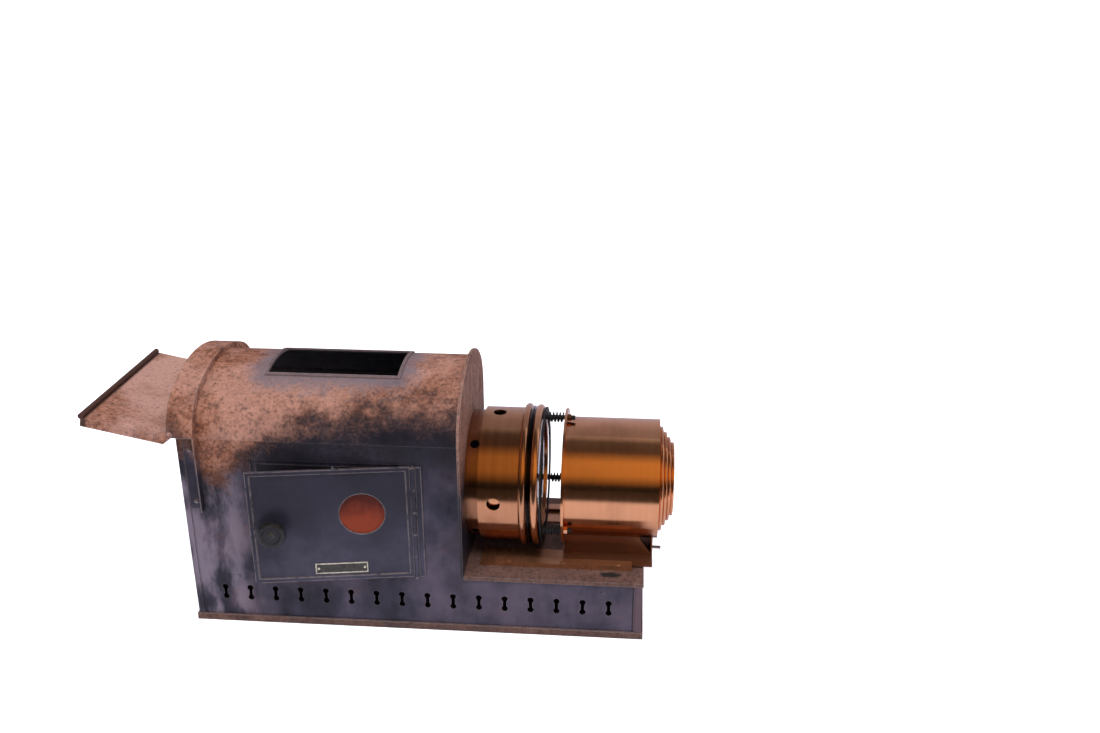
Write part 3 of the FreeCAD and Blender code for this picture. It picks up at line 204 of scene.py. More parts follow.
ACROSS_HOUSE = (0.0, 1.0, 1.0)
INWARD = (-0.004, -0.030)
BROAD_SWING = 0.016
PATCH_SWING = 0.012
RUST_FADE = (-0.012, 0.012)
SCORCH_FADE = (0.030, 0.002)
SHADE_RISE = (0.122, 0.172)
SHADE_FADE = (0.022, 0.0)
REAR_MARKS_AND_SHEEN = (-0.118, -0.160)
UPRIGHT_SCALE = (42.0, 42.0, 17.0)
CHIMNEY_MIDDLE = (-0.0678, 0.0, 0.0)
CHIMNEY_HALF = (0.0530, 0.0290, 9.0)
HALO_REACH = (0.024, 0.002)
HALO_SWING = 0.008

iron_weather, entry, leave = new_group(
    "iron_weather",
    [("Rust", 0.0), ("Pink", 0.3), ("Smudge Sheen Shade", 1.0), ("Halo", 0.0), ("Inside", 0.0), ("Shade", 0.0),
     ("Ragged", 1.0)],
    [("Color", "NodeSocketColor"), ("Roughness", "NodeSocketFloat"), ("Height", "NodeSocketFloat")],
)
tree = iron_weather
place = object_place(tree)
axes = wire(tree, "SeparateXYZ", {"Vector": place}).node.outputs
broad = cloud(tree, place, 15.0, 6.0)
patch = cloud(tree, place, 70.0, 9.0, 0.74)
grain = cloud(tree, place, 360.0, 5.0, 0.75)
smear = cloud(tree, place, 42.0, 7.0, 0.66)
upright = cloud(tree, wire(tree, "Mapping", {"Vector": place, "Scale": UPRIGHT_SCALE}), 1.0, 6.0)
# The rust comes down to a ragged line.
along = wire(tree, "MapRange", {"Value": axes["X"], "From Min": HOUSE_REAR, "From Max": HOUSE_FRONT})
line = ramp(tree, along, [(spot, (level, level, level)) for spot, level in RUST_LINE])
broad_swing = spread(tree, broad, 0.25, 0.75, -BROAD_SWING, BROAD_SWING)
patch_swing = spread(tree, patch, 0.25, 0.75, -PATCH_SWING, PATCH_SWING)
ragged = product(tree, total(tree, broad_swing, patch_swing), entry["Ragged"])
height = total(tree, math_of(tree, "SUBTRACT", axes["Z"], line), ragged, entry["Rust"])
rusted = spread(tree, height, *RUST_FADE)
scorched = product(tree, rusted, spread(tree, height, *SCORCH_FADE))
# Below the line the iron is blued in cloudy tones that are partly painted sheen, and towards the rear it
# is stained and flecked, with lilac patches of painted sheen.
rear = spread(tree, axes["X"], *REAR_MARKS_AND_SHEEN)
stained = product(tree, spread(tree, rear, 0.0, 1.0, 0.22, 1.0), spread(tree, broad, 0.42, 0.62))
painted_sheen = product(tree, rear, spread(tree, upright, 0.42, 0.62, 0.0, 0.75), entry["Smudge Sheen Shade"])
fleck = product(tree, spread(tree, rear, 0.0, 1.0, 0.12, 0.9), spread(tree, patch, 0.57, 0.66))
fleck = product(tree, fleck, spread(tree, broad, 0.46, 0.58))
sheen = mean_of(tree, broad, upright, 0.45)
blued = ramp(tree, sheen, [(0.38, BLUE_DEEP), (0.50, BLUE_MID), (0.64, BLUE_PALE)])
lower = cover(tree, stained, blued, PLUM)
lower = cover(tree, painted_sheen, lower, LILAC_SHEEN)
lower = cover(tree, fleck, lower, RUST_ORANGE)
# Above the line the rust is mottled, smudged and darker where it ends.
mottle = mean_of(tree, patch, grain, 0.5)
browned = ramp(tree, mottle, [(0.42, RUST_TAN), (0.51, RUST_ORANGE), (0.58, RUST_BROWN)])
pale = product(tree, entry["Pink"], spread(tree, broad, 0.36, 0.62))
smudged = product(tree, spread(tree, smear, 0.54, 0.68, 0.0, 0.42), entry["Smudge Sheen Shade"])
browned = cover(tree, pale, browned, RUST_PINK)
browned = cover(tree, smudged, browned, SMUDGE)
browned = cover(tree, product(tree, scorched, 0.8), browned, RUST_DARK)
# The Shade input covers the rust with a dark brown of painted shade.
browned = cover(tree, entry["Shade"], browned, PAINTED_SHADE_BROWN)
browned = cover(tree, spread(tree, grain, 0.52, 0.66, 0.0, 0.6), browned, SMUDGE)
skin = blend_of(tree, rusted, lower, browned)
# A grey ring lies round the chimney's opening; painted shade darkens the iron in a band under the line,
# and the inner faces are painted near-black as painted shade.
offset = vector_of(tree, "ABSOLUTE", vector_of(tree, "SUBTRACT", place, CHIMNEY_MIDDLE))
offset = vector_of(tree, "MAXIMUM", vector_of(tree, "SUBTRACT", offset, CHIMNEY_HALF))
away = total(tree, vector_of(tree, "LENGTH", offset), vary(tree, patch, -HALO_SWING, HALO_SWING))
ring = spread(tree, away, *HALO_REACH, 0.0, 0.85)
skin = cover(tree, product(tree, ring, entry["Halo"]), skin, HALO)
painted_shade_band = product(tree, spread(tree, total(tree, axes["Z"], ragged), *SHADE_RISE),
                 spread(tree, height, *SHADE_FADE), entry["Smudge Sheen Shade"])
painted_shade_band = product(tree, painted_shade_band, spread(tree, grain, 0.38, 0.58, 0.62, 0.95))
skin = cover(tree, painted_shade_band, skin, SOOT_AND_SHADE)
# Faces turned inwards are painted near-black as painted shade.
facing = wire(tree, "NewGeometry", {}).node.outputs["Normal"]
outward = vector_of(tree, "SUBTRACT", vector_of(tree, "MULTIPLY", place, ACROSS_HOUSE), HOUSE_MIDDLE)
within = spread(tree, vector_of(tree, "DOT_PRODUCT", facing, outward), *INWARD)
skin = cover(tree, product(tree, within, entry["Inside"]), skin, SOOT_AND_SHADE)
tree.links.new(skin, leave["Color"])
matt = math_of(tree, "MAXIMUM", rusted, fleck)
rough = total(tree, spread(tree, matt, 0.0, 1.0, 0.34, 0.74), vary(tree, patch, -0.06, 0.08))
tree.links.new(rough, leave["Roughness"])
crust = product(tree, total(tree, grain, patch), spread(tree, matt, 0.0, 1.0, 0.12, 1.0))
tree.links.new(crust, leave["Height"])

worn_edges, entry, leave = new_group(
    "worn_edges", [("Width", 0.001), ("Amount", 1.0)], [("Mask", "NodeSocketFloat")]
)
tree = worn_edges
soft = wire(tree, "Bevel", {"Radius": entry["Width"]}, samples=6)
sharp = wire(tree, "NewGeometry", {}).node.outputs["Normal"]
bent = spread(tree, vector_of(tree, "DOT_PRODUCT", soft, sharp), 0.995, 0.80)
scuffed = spread(tree, cloud(tree, object_place(tree), 160.0, 4.0), 0.28, 0.50)
tree.links.new(product(tree, bent, scuffed, entry["Amount"]), leave["Mask"])

WORN_METAL = (0.250, 0.205, 0.200)
EDGE_WIDTH = 0.0012


def weathered_iron(
    name, rust, pink, smudge_sheen_shade, halo=0.0, inside=0.0, shade=0.0, ragged=1.0, wear=0.6, relief=0.00025
):
    material, tree, shader = new_material(name)
    skin = wire(
        tree, "Group",
        {"Rust": rust, "Pink": pink, "Smudge Sheen Shade": smudge_sheen_shade, "Halo": halo, "Inside": inside, "Shade": shade,
         "Ragged": ragged},
        node_tree=iron_weather,
    )
    edge = wire(tree, "Group", {"Width": EDGE_WIDTH, "Amount": wear}, node_tree=worn_edges)
    tree.links.new(cover(tree, edge, skin, WORN_METAL), shader["Base Color"])
    tree.links.new(skin.node.outputs["Roughness"], shader["Roughness"])
    tree.links.new(bump(tree, skin.node.outputs["Height"], 0.5, relief), shader["Normal"])
    shader["Metallic"].default_value = 0.25
    shader["Specular IOR Level"].default_value = 0.4
    return material


def tint(material, mask, colour):
    tree = material.node_tree
    skin_input = tree.nodes["Principled BSDF"].inputs["Base Color"]
    skin = skin_input.links[0].from_socket
    tree.links.new(cover(tree, mask, skin, colour), skin_input)


END_LAP = 0.0055
SEAM_WIDTH = 0.0010
EDGE_BLUR = 0.0004
wall_iron = weathered_iron("wall_iron", 0.0, 0.2, 1.0, inside=1.0, wear=0.3)
tree = wall_iron.node_tree
axial = axis_of(tree, object_place(tree), "X")
lap_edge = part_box("near_side_panel")[1].x - END_LAP
seam_edge = lap_edge - SEAM_WIDTH
tint(wall_iron, spread(tree, axial, seam_edge - EDGE_BLUR, seam_edge), SOOT_AND_SHADE)
tint(wall_iron, spread(tree, axial, lap_edge - EDGE_BLUR, lap_edge, 0.0, 0.85), PLUM)
dress(wall_iron, "near_side_panel", "far_side_panel", "base_front_panel", "base_rear_panel")

# Wall rivets: two small iron rivets in the near wall, one at each end of the row of vents.
# Their heads are domed and have the same blued skin as the wall.
RIVET_SPOTS = [(-0.1495, 0.0438), (0.1556, 0.0420)]
RIVET_RADIUS = 0.0017
RIVET_HEIGHT = 0.0008
RIVET_SINK = 0.0002
HEAD_SIDES = 24
DOME_SHARE = 0.8
QUARTER_TURN = math.radians(90)
SMOOTH_ANGLE = math.radians(50)
# The roof's sides are flush with the walls.
WALL_FACE = roof_low.y


def deselect():
    bpy.ops.object.select_all(action="DESELECT")


def pick_faces(piece, chosen):
    bpy.ops.mesh.select_all(action="DESELECT")
    bpy.ops.object.mode_set(mode="OBJECT")
    for face in piece.data.polygons:
        face.select = chosen(face)
    bpy.ops.object.mode_set(mode="EDIT")
    bpy.ops.mesh.select_mode(type="FACE")


def domed_head(radius, height, place):
    deselect()
    bpy.ops.mesh.primitive_cylinder_add(
        vertices=HEAD_SIDES, radius=radius, depth=height, location=place, rotation=(QUARTER_TURN, 0, 0)
    )
    head = bpy.context.object
    bpy.ops.object.transform_apply(location=True, rotation=True, scale=True)
    bpy.ops.object.mode_set(mode="EDIT")
    pick_faces(head, lambda face: face.normal.y < -0.9)
    bpy.ops.mesh.bevel(offset=DOME_SHARE * height, segments=4, affect="EDGES")
    bpy.ops.object.mode_set(mode="OBJECT")
    bpy.ops.object.shade_smooth_by_angle(angle=SMOOTH_ANGLE)
    return head


def copy_of(piece, shift):
    deselect()
    piece.select_set(True)
    bpy.context.view_layer.objects.active = piece
    bpy.ops.object.duplicate()
    twin = bpy.context.object
    twin.location = shift
    bpy.ops.object.transform_apply(location=True, rotation=True, scale=True)
    return twin


(first_x, first_z), (second_x, second_z) = RIVET_SPOTS
head_place = (first_x, WALL_FACE + RIVET_SINK - RIVET_HEIGHT / 2, first_z)
rear_rivet = domed_head(RIVET_RADIUS, RIVET_HEIGHT, head_place)
rear_rivet.data.materials.append(wall_iron)
front_rivet = copy_of(rear_rivet, (second_x - first_x, 0, second_z - first_z))
for name, rivet in (("wall_rivet_1", rear_rivet), ("wall_rivet_2", front_rivet)):
    rivet.name = name
    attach(rivet, "lantern")

# Roof: one arched sheet between the walls, with the raised rim that the chimney stood on.
# It carried the heat, so it is rusted all over, and scorched grey round the opening.
roof_iron = weathered_iron("roof_iron", 0.004, 0.5, 0.9, halo=1.0, inside=1.0, wear=0.0)
dress(roof_iron, "roof_panel", "seam_strips")
rim_iron = weathered_iron("rim_iron", 0.08, 0.0, 0.0, halo=0.6, shade=0.6, wear=0.9)
dress(rim_iron, "chimney_rim")

# Plinth: a folded deck, a floor and a strip of iron round the foot; deck and foot are painted dark brown
# as painted shade.
# The deck has a dark oval stain near its front corner on the door's side.
STAIN_FROM_FRONT = 0.0270
STAIN_FROM_SIDE = 0.0120
STAIN_SCALE = (100.0, 230.0, 0.0)
STAIN_COLOUR = (0.012, 0.014, 0.014)
deck_low, deck_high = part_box("deck_plate")
stain_middle = (deck_high.x - STAIN_FROM_FRONT, deck_low.y + STAIN_FROM_SIDE, 0.0)
deck_iron = weathered_iron("deck_iron", 0.20, 0.2, 0.0, shade=0.72)
tree = deck_iron.node_tree
place = object_place(tree)
offset = vector_of(tree, "SUBTRACT", place, stain_middle)
away = vector_of(tree, "LENGTH", vector_of(tree, "MULTIPLY", offset, STAIN_SCALE))
away = total(tree, away, vary(tree, cloud(tree, place, 150.0, 4.0), -0.3, 0.3))
tint(deck_iron, spread(tree, away, 1.1, 0.7, 0.0, 0.9), STAIN_COLOUR)
dress(deck_iron, "deck_plate")
foot_iron = weathered_iron("foot_iron", 0.20, 0.1, 0.0, shade=0.70, wear=0.9)
dress(foot_iron, "base_rim")
floor_iron = weathered_iron("floor_iron", -0.06, 0.0, 1.0)
dress(floor_iron, "base_floor", "lamp_floor", "tray_runners", "door_frame")

# Front plate: an arched sheet of iron with its edge turned back, closing the house's front end.
# It is rusted where the roof was hot, with a rubbed rim, and painted browner and darker towards the foot
# as painted shade.
PLATE_SHADE_RANGE = (0.19, 0.06)
plate_iron = weathered_iron("plate_iron", 0.055, 0.4, 0.0, shade=0.30, wear=1.0)
tree = plate_iron.node_tree
up = axis_of(tree, object_place(tree), "Z")
tint(plate_iron, spread(tree, up, *PLATE_SHADE_RANGE, 0.0, 0.85), SOOT_AND_SHADE)
dress(plate_iron, "front_plate")

# Rear hood: a riveted band on two legs, and a flap that tilts on pivots to shade the lamp.
# Both are rusted pink and brown, and the flap's rolled hem is painted darker as painted shade.
HEM_SHADE_START = -0.2570
HEM_BLUR = 0.0020
hood_iron = weathered_iron("hood_iron", -0.024, 0.7, 0.0, ragged=0.15, wear=0.9, relief=0.0005)
dress(hood_iron, "hood_band")
flap_iron = weathered_iron("flap_iron", 0.10, 1.0, 0.0, wear=0.7, relief=0.0005)
tree = flap_iron.node_tree
axial = axis_of(tree, object_place(tree), "X")
tint(flap_iron, spread(tree, axial, HEM_SHADE_START, HEM_SHADE_START - HEM_BLUR), RUST_DARK)
dress(flap_iron, "hood_flap", "flap_pivots")

steel_haze, entry, leave = new_group(
    "steel_haze",
    [("Tone", (0.3, 0.3, 0.3, 1.0)), ("Dullness", 0.45)],
    [("Color", "NodeSocketColor"), ("Roughness", "NodeSocketFloat"), ("Height", "NodeSocketFloat")],
)
tree = steel_haze
place = object_place(tree)
haze = cloud(tree, place, 210.0, 5.0)
shadow = blend_of(tree, 1.0, entry["Tone"], (0.55, 0.55, 0.55, 1.0), "MULTIPLY")
tree.links.new(blend_of(tree, spread(tree, haze, 0.3, 0.6), shadow, entry["Tone"]), leave["Color"])
tree.links.new(total(tree, entry["Dullness"], vary(tree, haze, -0.10, 0.12)), leave["Roughness"])
tree.links.new(cloud(tree, place, 900.0, 3.0), leave["Height"])


def plain_steel(name, tone, dullness, metallic, relief):
    material, tree, shader = new_material(name)
    skin = wire(tree, "Group", {"Tone": (*tone, 1.0), "Dullness": dullness}, node_tree=steel_haze)
    tree.links.new(skin, shader["Base Color"])
    tree.links.new(skin.node.outputs["Roughness"], shader["Roughness"])
    tree.links.new(bump(tree, skin.node.outputs["Height"], 0.3, relief), shader["Normal"])
    shader["Metallic"].default_value = metallic
    return material


rivet_steel = plain_steel("rivet_steel", (0.34, 0.32, 0.33), 0.42, 0.9, 0.0001)
dress(rivet_steel, "hood_rivets")

# Side door: blued sheet with a folded edge, hung on a pinned hinge and standing ajar.
# It was handled and not heated, so it kept its dark blue-grey skin, painted darker towards the top as
# painted shade.
DOOR_DEEP = (0.020, 0.019, 0.031)
DOOR_MID = (0.036, 0.034, 0.056)
DOOR_PALE = (0.060, 0.055, 0.088)
DOOR_SHADE = (0.075, 0.125)
door_iron, tree, shader = new_material("door_iron")
place = object_place(tree)
wide = cloud(tree, place, 22.0, 4.0)
fine = cloud(tree, place, 260.0, 5.0)
skin = ramp(tree, wide, [(0.32, DOOR_DEEP), (0.52, DOOR_MID), (0.74, DOOR_PALE)])
up = axis_of(tree, place, "Z")
# Painted shade darkens the door towards the top.
skin = cover(tree, spread(tree, up, *DOOR_SHADE, 0.0, 0.7), skin, DOOR_DEEP)
edge = wire(tree, "Group", {"Width": 1.5 * EDGE_WIDTH, "Amount": 0.9}, node_tree=worn_edges)
tree.links.new(cover(tree, edge, skin, WORN_METAL), shader["Base Color"])
tree.links.new(vary(tree, fine, 0.34, 0.50), shader["Roughness"])
tree.links.new(bump(tree, fine, 0.25, 0.0001), shader["Normal"])
shader["Metallic"].default_value = 0.3
dress(door_iron, "side_door", "glass_retainer", "hinge_leaf", "hinge_pin")

# Sight glass: a disc of red glass held behind a hole in the door by a ring.
# Through it the light can be watched without dazzle; a painted reflection makes it darker towards the
# top and lighter towards the foot.
GLASS_DEEP = (0.055, 0.007, 0.003)
GLASS_LIT = (0.185, 0.027, 0.008)
GLASS_SHADE = (0.128, 0.095)
ruby, tree, shader = new_material("ruby")
place = object_place(tree)
depth = cloud(tree, place, 70.0, 4.0)
up = axis_of(tree, place, "Z")
# Painted reflection: dark at the top, lighter at the foot.
glow = total(tree, spread(tree, up, *GLASS_SHADE), vary(tree, depth, -0.25, 0.25))
tree.links.new(ramp(tree, glow, [(0.0, GLASS_DEEP), (0.9, GLASS_LIT)]), shader["Base Color"])
tree.links.new(vary(tree, depth, 0.06, 0.14), shader["Roughness"])
shader["IOR"].default_value = 1.45
shader["Specular IOR Level"].default_value = 0.25
dress(ruby, "ruby_glass")

# Door knob: black polished wood, turned with a dished face.
# A screw goes through it and the door, with a nut inside.
KNOB_BLACK = (0.006, 0.006, 0.007)
KNOB_GREY = (0.016, 0.016, 0.019)
KNOB_GRAIN = (60.0, 60.0, 420.0)
knob_wood, tree, shader = new_material("knob_wood")
turned = wire(tree, "Mapping", {"Vector": object_place(tree), "Scale": KNOB_GRAIN})
grain = cloud(tree, turned, 1.0, 5.0)
tree.links.new(ramp(tree, grain, [(0.35, KNOB_BLACK), (0.65, KNOB_GREY)]), shader["Base Color"])
tree.links.new(vary(tree, grain, 0.30, 0.46), shader["Roughness"])
tree.links.new(bump(tree, grain, 0.2, 0.0001), shader["Normal"])
dress(knob_wood, "door_knob")
dark_steel = plain_steel("dark_steel", (0.10, 0.10, 0.105), 0.45, 0.8, 0.0001)
dress(dark_steel, "knob_screw", "knob_nut")

# Bare plate: a small stamped plate pinned to the foot of the door, with nothing on it.
# It is a thin sheet with a raised border and a pin at each end.
PLATE_LENGTH = 0.0425
PLATE_HEIGHT = 0.0095
PLATE_THICKNESS = 0.0008
PLATE_FROM_HINGE = 0.0612
PLATE_CENTRE_HEIGHT = 0.0625
PLATE_BORDER = 0.0009
PLATE_SINK = 0.35 * PLATE_THICKNESS
PLATE_EDGE = 0.00012
DOOR_PROUD = 0.0003
PIN_RADIUS = 0.0011
PIN_HEIGHT = 0.0008
PIN_INSET = 0.0026
INK_DARK = (0.014, 0.013, 0.013)
INK_WORN = (0.060, 0.055, 0.048)
PLATE_DULL = (0.30, 0.27, 0.21)
PLATE_BRIGHT = (0.62, 0.58, 0.48)


def joint_named(name):
    return next(joint for joint in frame["joints"] if joint["name"] == name)


def tarnished(name, scale, detail, stops, dullness, metallic=0.0):
    material, tree, shader = new_material(name)
    tarnish = cloud(tree, object_place(tree), scale, detail)
    tree.links.new(ramp(tree, tarnish, stops), shader["Base Color"])
    tree.links.new(vary(tree, tarnish, *dullness), shader["Roughness"])
    shader["Metallic"].default_value = metallic
    return material


def joined(pieces):
    deselect()
    for piece in pieces:
        piece.select_set(True)
    bpy.context.view_layer.objects.active = pieces[0]
    bpy.ops.object.join()
    return pieces[0]


ink_stops = [(0.3, INK_DARK), (0.7, INK_WORN)]
plate_ink = tarnished("plate_ink", 300.0, 5.0, ink_stops, (0.40, 0.60))
metal_stops = [(0.3, PLATE_DULL), (0.6, PLATE_BRIGHT)]
plate_metal = tarnished("plate_metal", 300.0, 5.0, metal_stops, (0.38, 0.55), metallic=0.4)
hinge = joint_named("door_hinge")
hinge_point = Vector(hinge["pos_m"])
door_ajar = -math.radians(hinge["range_deg"][0])
deselect()
plate_x = hinge_point.x - PLATE_FROM_HINGE
plate_y = WALL_FACE - DOOR_PROUD - PLATE_THICKNESS / 2
bpy.ops.mesh.primitive_cube_add(size=1.0, location=(plate_x, plate_y, PLATE_CENTRE_HEIGHT))
plate = bpy.context.object
plate.name = "bare_plate"
plate.scale = (PLATE_LENGTH, PLATE_THICKNESS, PLATE_HEIGHT)
bpy.ops.object.transform_apply(location=True, rotation=True, scale=True)
plate.data.materials.append(plate_metal)
plate.data.materials.append(plate_ink)
bpy.ops.object.mode_set(mode="EDIT")
pick_faces(plate, lambda face: face.normal.y < -0.9)
bpy.ops.mesh.inset(thickness=PLATE_BORDER)
bpy.ops.mesh.extrude_region_move(TRANSFORM_OT_translate={"value": (0, PLATE_SINK, 0)})
plate.active_material_index = 1
bpy.ops.object.material_slot_assign()
bpy.ops.object.mode_set(mode="OBJECT")
bevel = plate.modifiers.new("edge", "BEVEL")
bevel.width = PLATE_EDGE
bevel.segments = 2
bpy.ops.object.modifier_apply(modifier="edge")
pin_spread = PLATE_LENGTH - 2 * PIN_INSET
pin_place = (plate_x - pin_spread / 2, plate_y - PIN_HEIGHT / 2, PLATE_CENTRE_HEIGHT)
left_pin = domed_head(PIN_RADIUS, PIN_HEIGHT, pin_place)
left_pin.data.materials.append(plate_metal)
plate = joined([plate, left_pin, copy_of(left_pin, (pin_spread, 0, 0))])
to_hinge = Matrix.Translation(hinge_point)
swing = to_hinge @ Matrix.Rotation(door_ajar, 4, "Z") @ to_hinge.inverted()
plate.data.transform(swing)
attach(plate, "door")

# Condenser: spun brass, lacquered, with vent holes and rolled beads.
# The lathe left fine lines round it, and the lacquer has gone warm and coppery.
BRASS_SPOT = (0.10, 0.035, 0.014)
BRASS_DARK = (0.30, 0.115, 0.045)
BRASS_AGED_AND_SHADE = (0.215, 0.092, 0.048)
BRASS_WARM = (0.76, 0.345, 0.160)
BRASS_BRIGHT = (0.88, 0.450, 0.235)
spun_brass, entry, leave = new_group(
    "spun_brass",
    [("Lines", 2600.0), ("Tarnish", 0.5), ("Age", 0.0)],
    [("Color", "NodeSocketColor"), ("Roughness", "NodeSocketFloat"), ("Height", "NodeSocketFloat")],
)
tree = spun_brass
place = object_place(tree)
axial = axis_of(tree, place, "X")
line_place = product(tree, axial, entry["Lines"])
band_place = product(tree, axial, 220.0)
lines = wire(tree, "TexNoise", {"W": line_place, "Scale": 1.0, "Detail": 3.0}, noise_dimensions="1D")
bands = wire(tree, "TexNoise", {"W": band_place, "Scale": 1.0, "Detail": 2.0}, noise_dimensions="1D")
cloudy = cloud(tree, place, 34.0, 6.0)
spots = cloud(tree, place, 240.0, 5.0, 0.7)
mixture = mean_of(tree, lines, bands, 0.4)
colour = ramp(tree, mixture, [(0.25, BRASS_WARM), (0.75, BRASS_BRIGHT)])
dull = product(tree, spread(tree, cloudy, 0.46, 0.72), entry["Tarnish"])
dots = product(tree, spread(tree, spots, 0.64, 0.72, 0.0, 0.7), entry["Tarnish"])
# Age browns the brass; on the saddle it is painted shade.
colour = cover(tree, entry["Age"], colour, BRASS_AGED_AND_SHADE)
colour = cover(tree, dull, colour, BRASS_DARK)
colour = cover(tree, dots, colour, BRASS_SPOT)
tree.links.new(colour, leave["Color"])
rough = total(tree, spread(tree, mixture, 0.25, 0.75, 0.15, 0.24), product(tree, dull, 0.10))
tree.links.new(rough, leave["Roughness"])
tree.links.new(mixture, leave["Height"])


def brass(name, lines, tarnish, relief, age_and_shade=0.0, roughness=0.0, metallic=1.0):
    material, tree, shader = new_material(name)
    skin = wire(tree, "Group", {"Lines": lines, "Tarnish": tarnish, "Age": age_and_shade}, node_tree=spun_brass)
    tree.links.new(skin, shader["Base Color"])
    tree.links.new(total(tree, skin.node.outputs["Roughness"], roughness), shader["Roughness"])
    tree.links.new(bump(tree, skin.node.outputs["Height"], 0.2, relief), shader["Normal"])
    round_axis = wire(tree, "Tangent", {}, direction_type="RADIAL", axis="X")
    tree.links.new(round_axis, shader["Tangent"])
    shader["Anisotropic"].default_value = 0.8
    shader["Anisotropic Rotation"].default_value = 0.25
    shader["Metallic"].default_value = metallic
    shader["Coat Weight"].default_value = 0.2
    shader["Coat Roughness"].default_value = 0.10
    return material


# The groove round the condenser cell is coloured near-black.
GROOVE_DARK = (0.010, 0.006, 0.004)
GROOVE_REAR = (0.0905, 0.0920)
GROOVE_FRONT = (0.0962, 0.0948)
neck_brass = brass("neck_brass", 1800.0, 0.6, 0.00002, age_and_shade=0.75)
dress(neck_brass, "condenser_neck")
drum_brass = brass("drum_brass", 1800.0, 0.4, 0.00002, age_and_shade=0.30)
dress(drum_brass, "condenser_drum")
bead_brass = brass("bead_brass", 1800.0, 0.3, 0.00002)
tree = bead_brass.node_tree
axial = axis_of(tree, object_place(tree), "X")
groove = product(tree, spread(tree, axial, *GROOVE_REAR), spread(tree, axial, *GROOVE_FRONT))
tint(bead_brass, groove, GROOVE_DARK)
dress(bead_brass, "condenser_cell", "cell_seat", "condenser_spacer", "condenser_ring")

# Condenser lenses: a pair of thick plano-convex glasses, face to face in the cell.
# They are of plain clear glass with a thin film of dust.
GLASS_CLEAR = (0.93, 0.97, 0.96, 1.0)
clear_glass, tree, shader = new_material("clear_glass")
film = cloud(tree, object_place(tree), 90.0, 4.0)
tree.links.new(vary(tree, film, 0.01, 0.06), shader["Roughness"])
shader["Base Color"].default_value = GLASS_CLEAR
shader["Transmission Weight"].default_value = 1.0
shader["IOR"].default_value = 1.52
shader["Specular IOR Level"].default_value = 0.12
dress(clear_glass, "condenser_rear_lens", "condenser_front_lens")

# Slide stage: a blackened plate on three posts that slide in the lens flange.
# Springs press it back on the slide, and brass nuts stop the posts in front.
black_steel = plain_steel("black_steel", (0.012, 0.012, 0.013), 0.62, 0.0, 0.0001)
dress(black_steel, "pressure_plate", "stage_posts")
nut_brass = brass("nut_brass", 900.0, 0.8, 0.00003)
dress(nut_brass, "post_nuts")

# Stage springs: three open coils of black wire, one round each post, between plate and flange.
# They shorten by about half as the plate is drawn forward to let a slide in.
COIL_RADIUS = 0.0037
WIRE_RADIUS = 0.00065
WIRE_SIDES = 10
WELD = 0.000001
COIL_TURNS = 5
STEPS_PER_TURN = 28
COIL_MARGIN = 0.0007
POST_CIRCLE = 0.054
POST_ANGLES = (90, 210, 330)
jacket_low, jacket_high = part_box("lens_jacket")
AXIS_HEIGHT = (jacket_low.z + jacket_high.z) / 2
plate_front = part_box("pressure_plate")[1].x
flange_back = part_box("stage_flange")[0].x
coil_length = flange_back - plate_front - 2 * COIL_MARGIN
posts = []
for angle in POST_ANGLES:
    turn = math.radians(angle)
    posts.append((POST_CIRCLE * math.cos(turn), AXIS_HEIGHT + POST_CIRCLE * math.sin(turn)))
deselect()
bpy.ops.mesh.primitive_circle_add(vertices=WIRE_SIDES, radius=WIRE_RADIUS, location=(0, 0, COIL_RADIUS))
coil = bpy.context.object
coil.name = "stage_coils"
coil.rotation_euler = (QUARTER_TURN, 0, 0)
bpy.ops.object.transform_apply(location=True, rotation=True, scale=True)
wind = coil.modifiers.new("wind", "SCREW")
wind.axis = "X"
wind.iterations = COIL_TURNS
wind.screw_offset = (coil_length - 2 * WIRE_RADIUS) / COIL_TURNS
wind.steps = STEPS_PER_TURN
wind.render_steps = STEPS_PER_TURN
bpy.ops.object.modifier_apply(modifier="wind")
coil.location = (plate_front + COIL_MARGIN + WIRE_RADIUS, *posts[0])
bpy.ops.object.transform_apply(location=True, rotation=True, scale=True)
bpy.ops.object.mode_set(mode="EDIT")
bpy.ops.mesh.select_all(action="SELECT")
bpy.ops.mesh.remove_doubles(threshold=WELD)
bpy.ops.mesh.select_all(action="DESELECT")
bpy.ops.mesh.select_mode(type="EDGE")
bpy.ops.mesh.select_non_manifold()
bpy.ops.mesh.fill_holes(sides=0)
bpy.ops.mesh.select_all(action="SELECT")
bpy.ops.mesh.normals_make_consistent(inside=False)
bpy.ops.object.mode_set(mode="OBJECT")
bpy.ops.object.shade_smooth_by_angle(angle=SMOOTH_ANGLE)
first_y, first_z = posts[0]
springs = joined([coil] + [copy_of(coil, (0, y - first_y, z - first_z)) for y, z in posts[1:]])
springs.data.materials.append(black_steel)
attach(springs, "lens_front")
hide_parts("stage_springs")
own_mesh(springs)

# Lens front: a flanged jacket and four draw tubes that nest in it, all turned from brass tube.
# The last tube carries the barrel of the objective, with its two glasses held by rings.
tube_brass = brass("tube_brass", 2600.0, 0.25, 0.00003)
dress(tube_brass, "stage_flange", "lens_jacket", "objective_barrel", "objective_rings")
dress(tube_brass, "draw_tube_1", "draw_tube_2", "draw_tube_3", "draw_tube_4")
dress(clear_glass, "objective_front_lens", "objective_rear_lens")

# Bed and saddle: folded brass sheet, browner than the tubes; the saddle's dark brown is painted shade.
# The saddle carries the lens front and slides between the guide strips screwed to the bed.
bed_brass = brass("bed_brass", 40.0, 0.7, 0.00001, age_and_shade=0.55, roughness=0.10, metallic=0.85)
dress(bed_brass, "bed_plate", "bed_guides", "bed_screws")
saddle_brass = brass("saddle_brass", 40.0, 0.9, 0.00001, age_and_shade=1.0, roughness=0.12, metallic=0.8)
dress(saddle_brass, "saddle")
dress(rivet_steel, "front_peg")

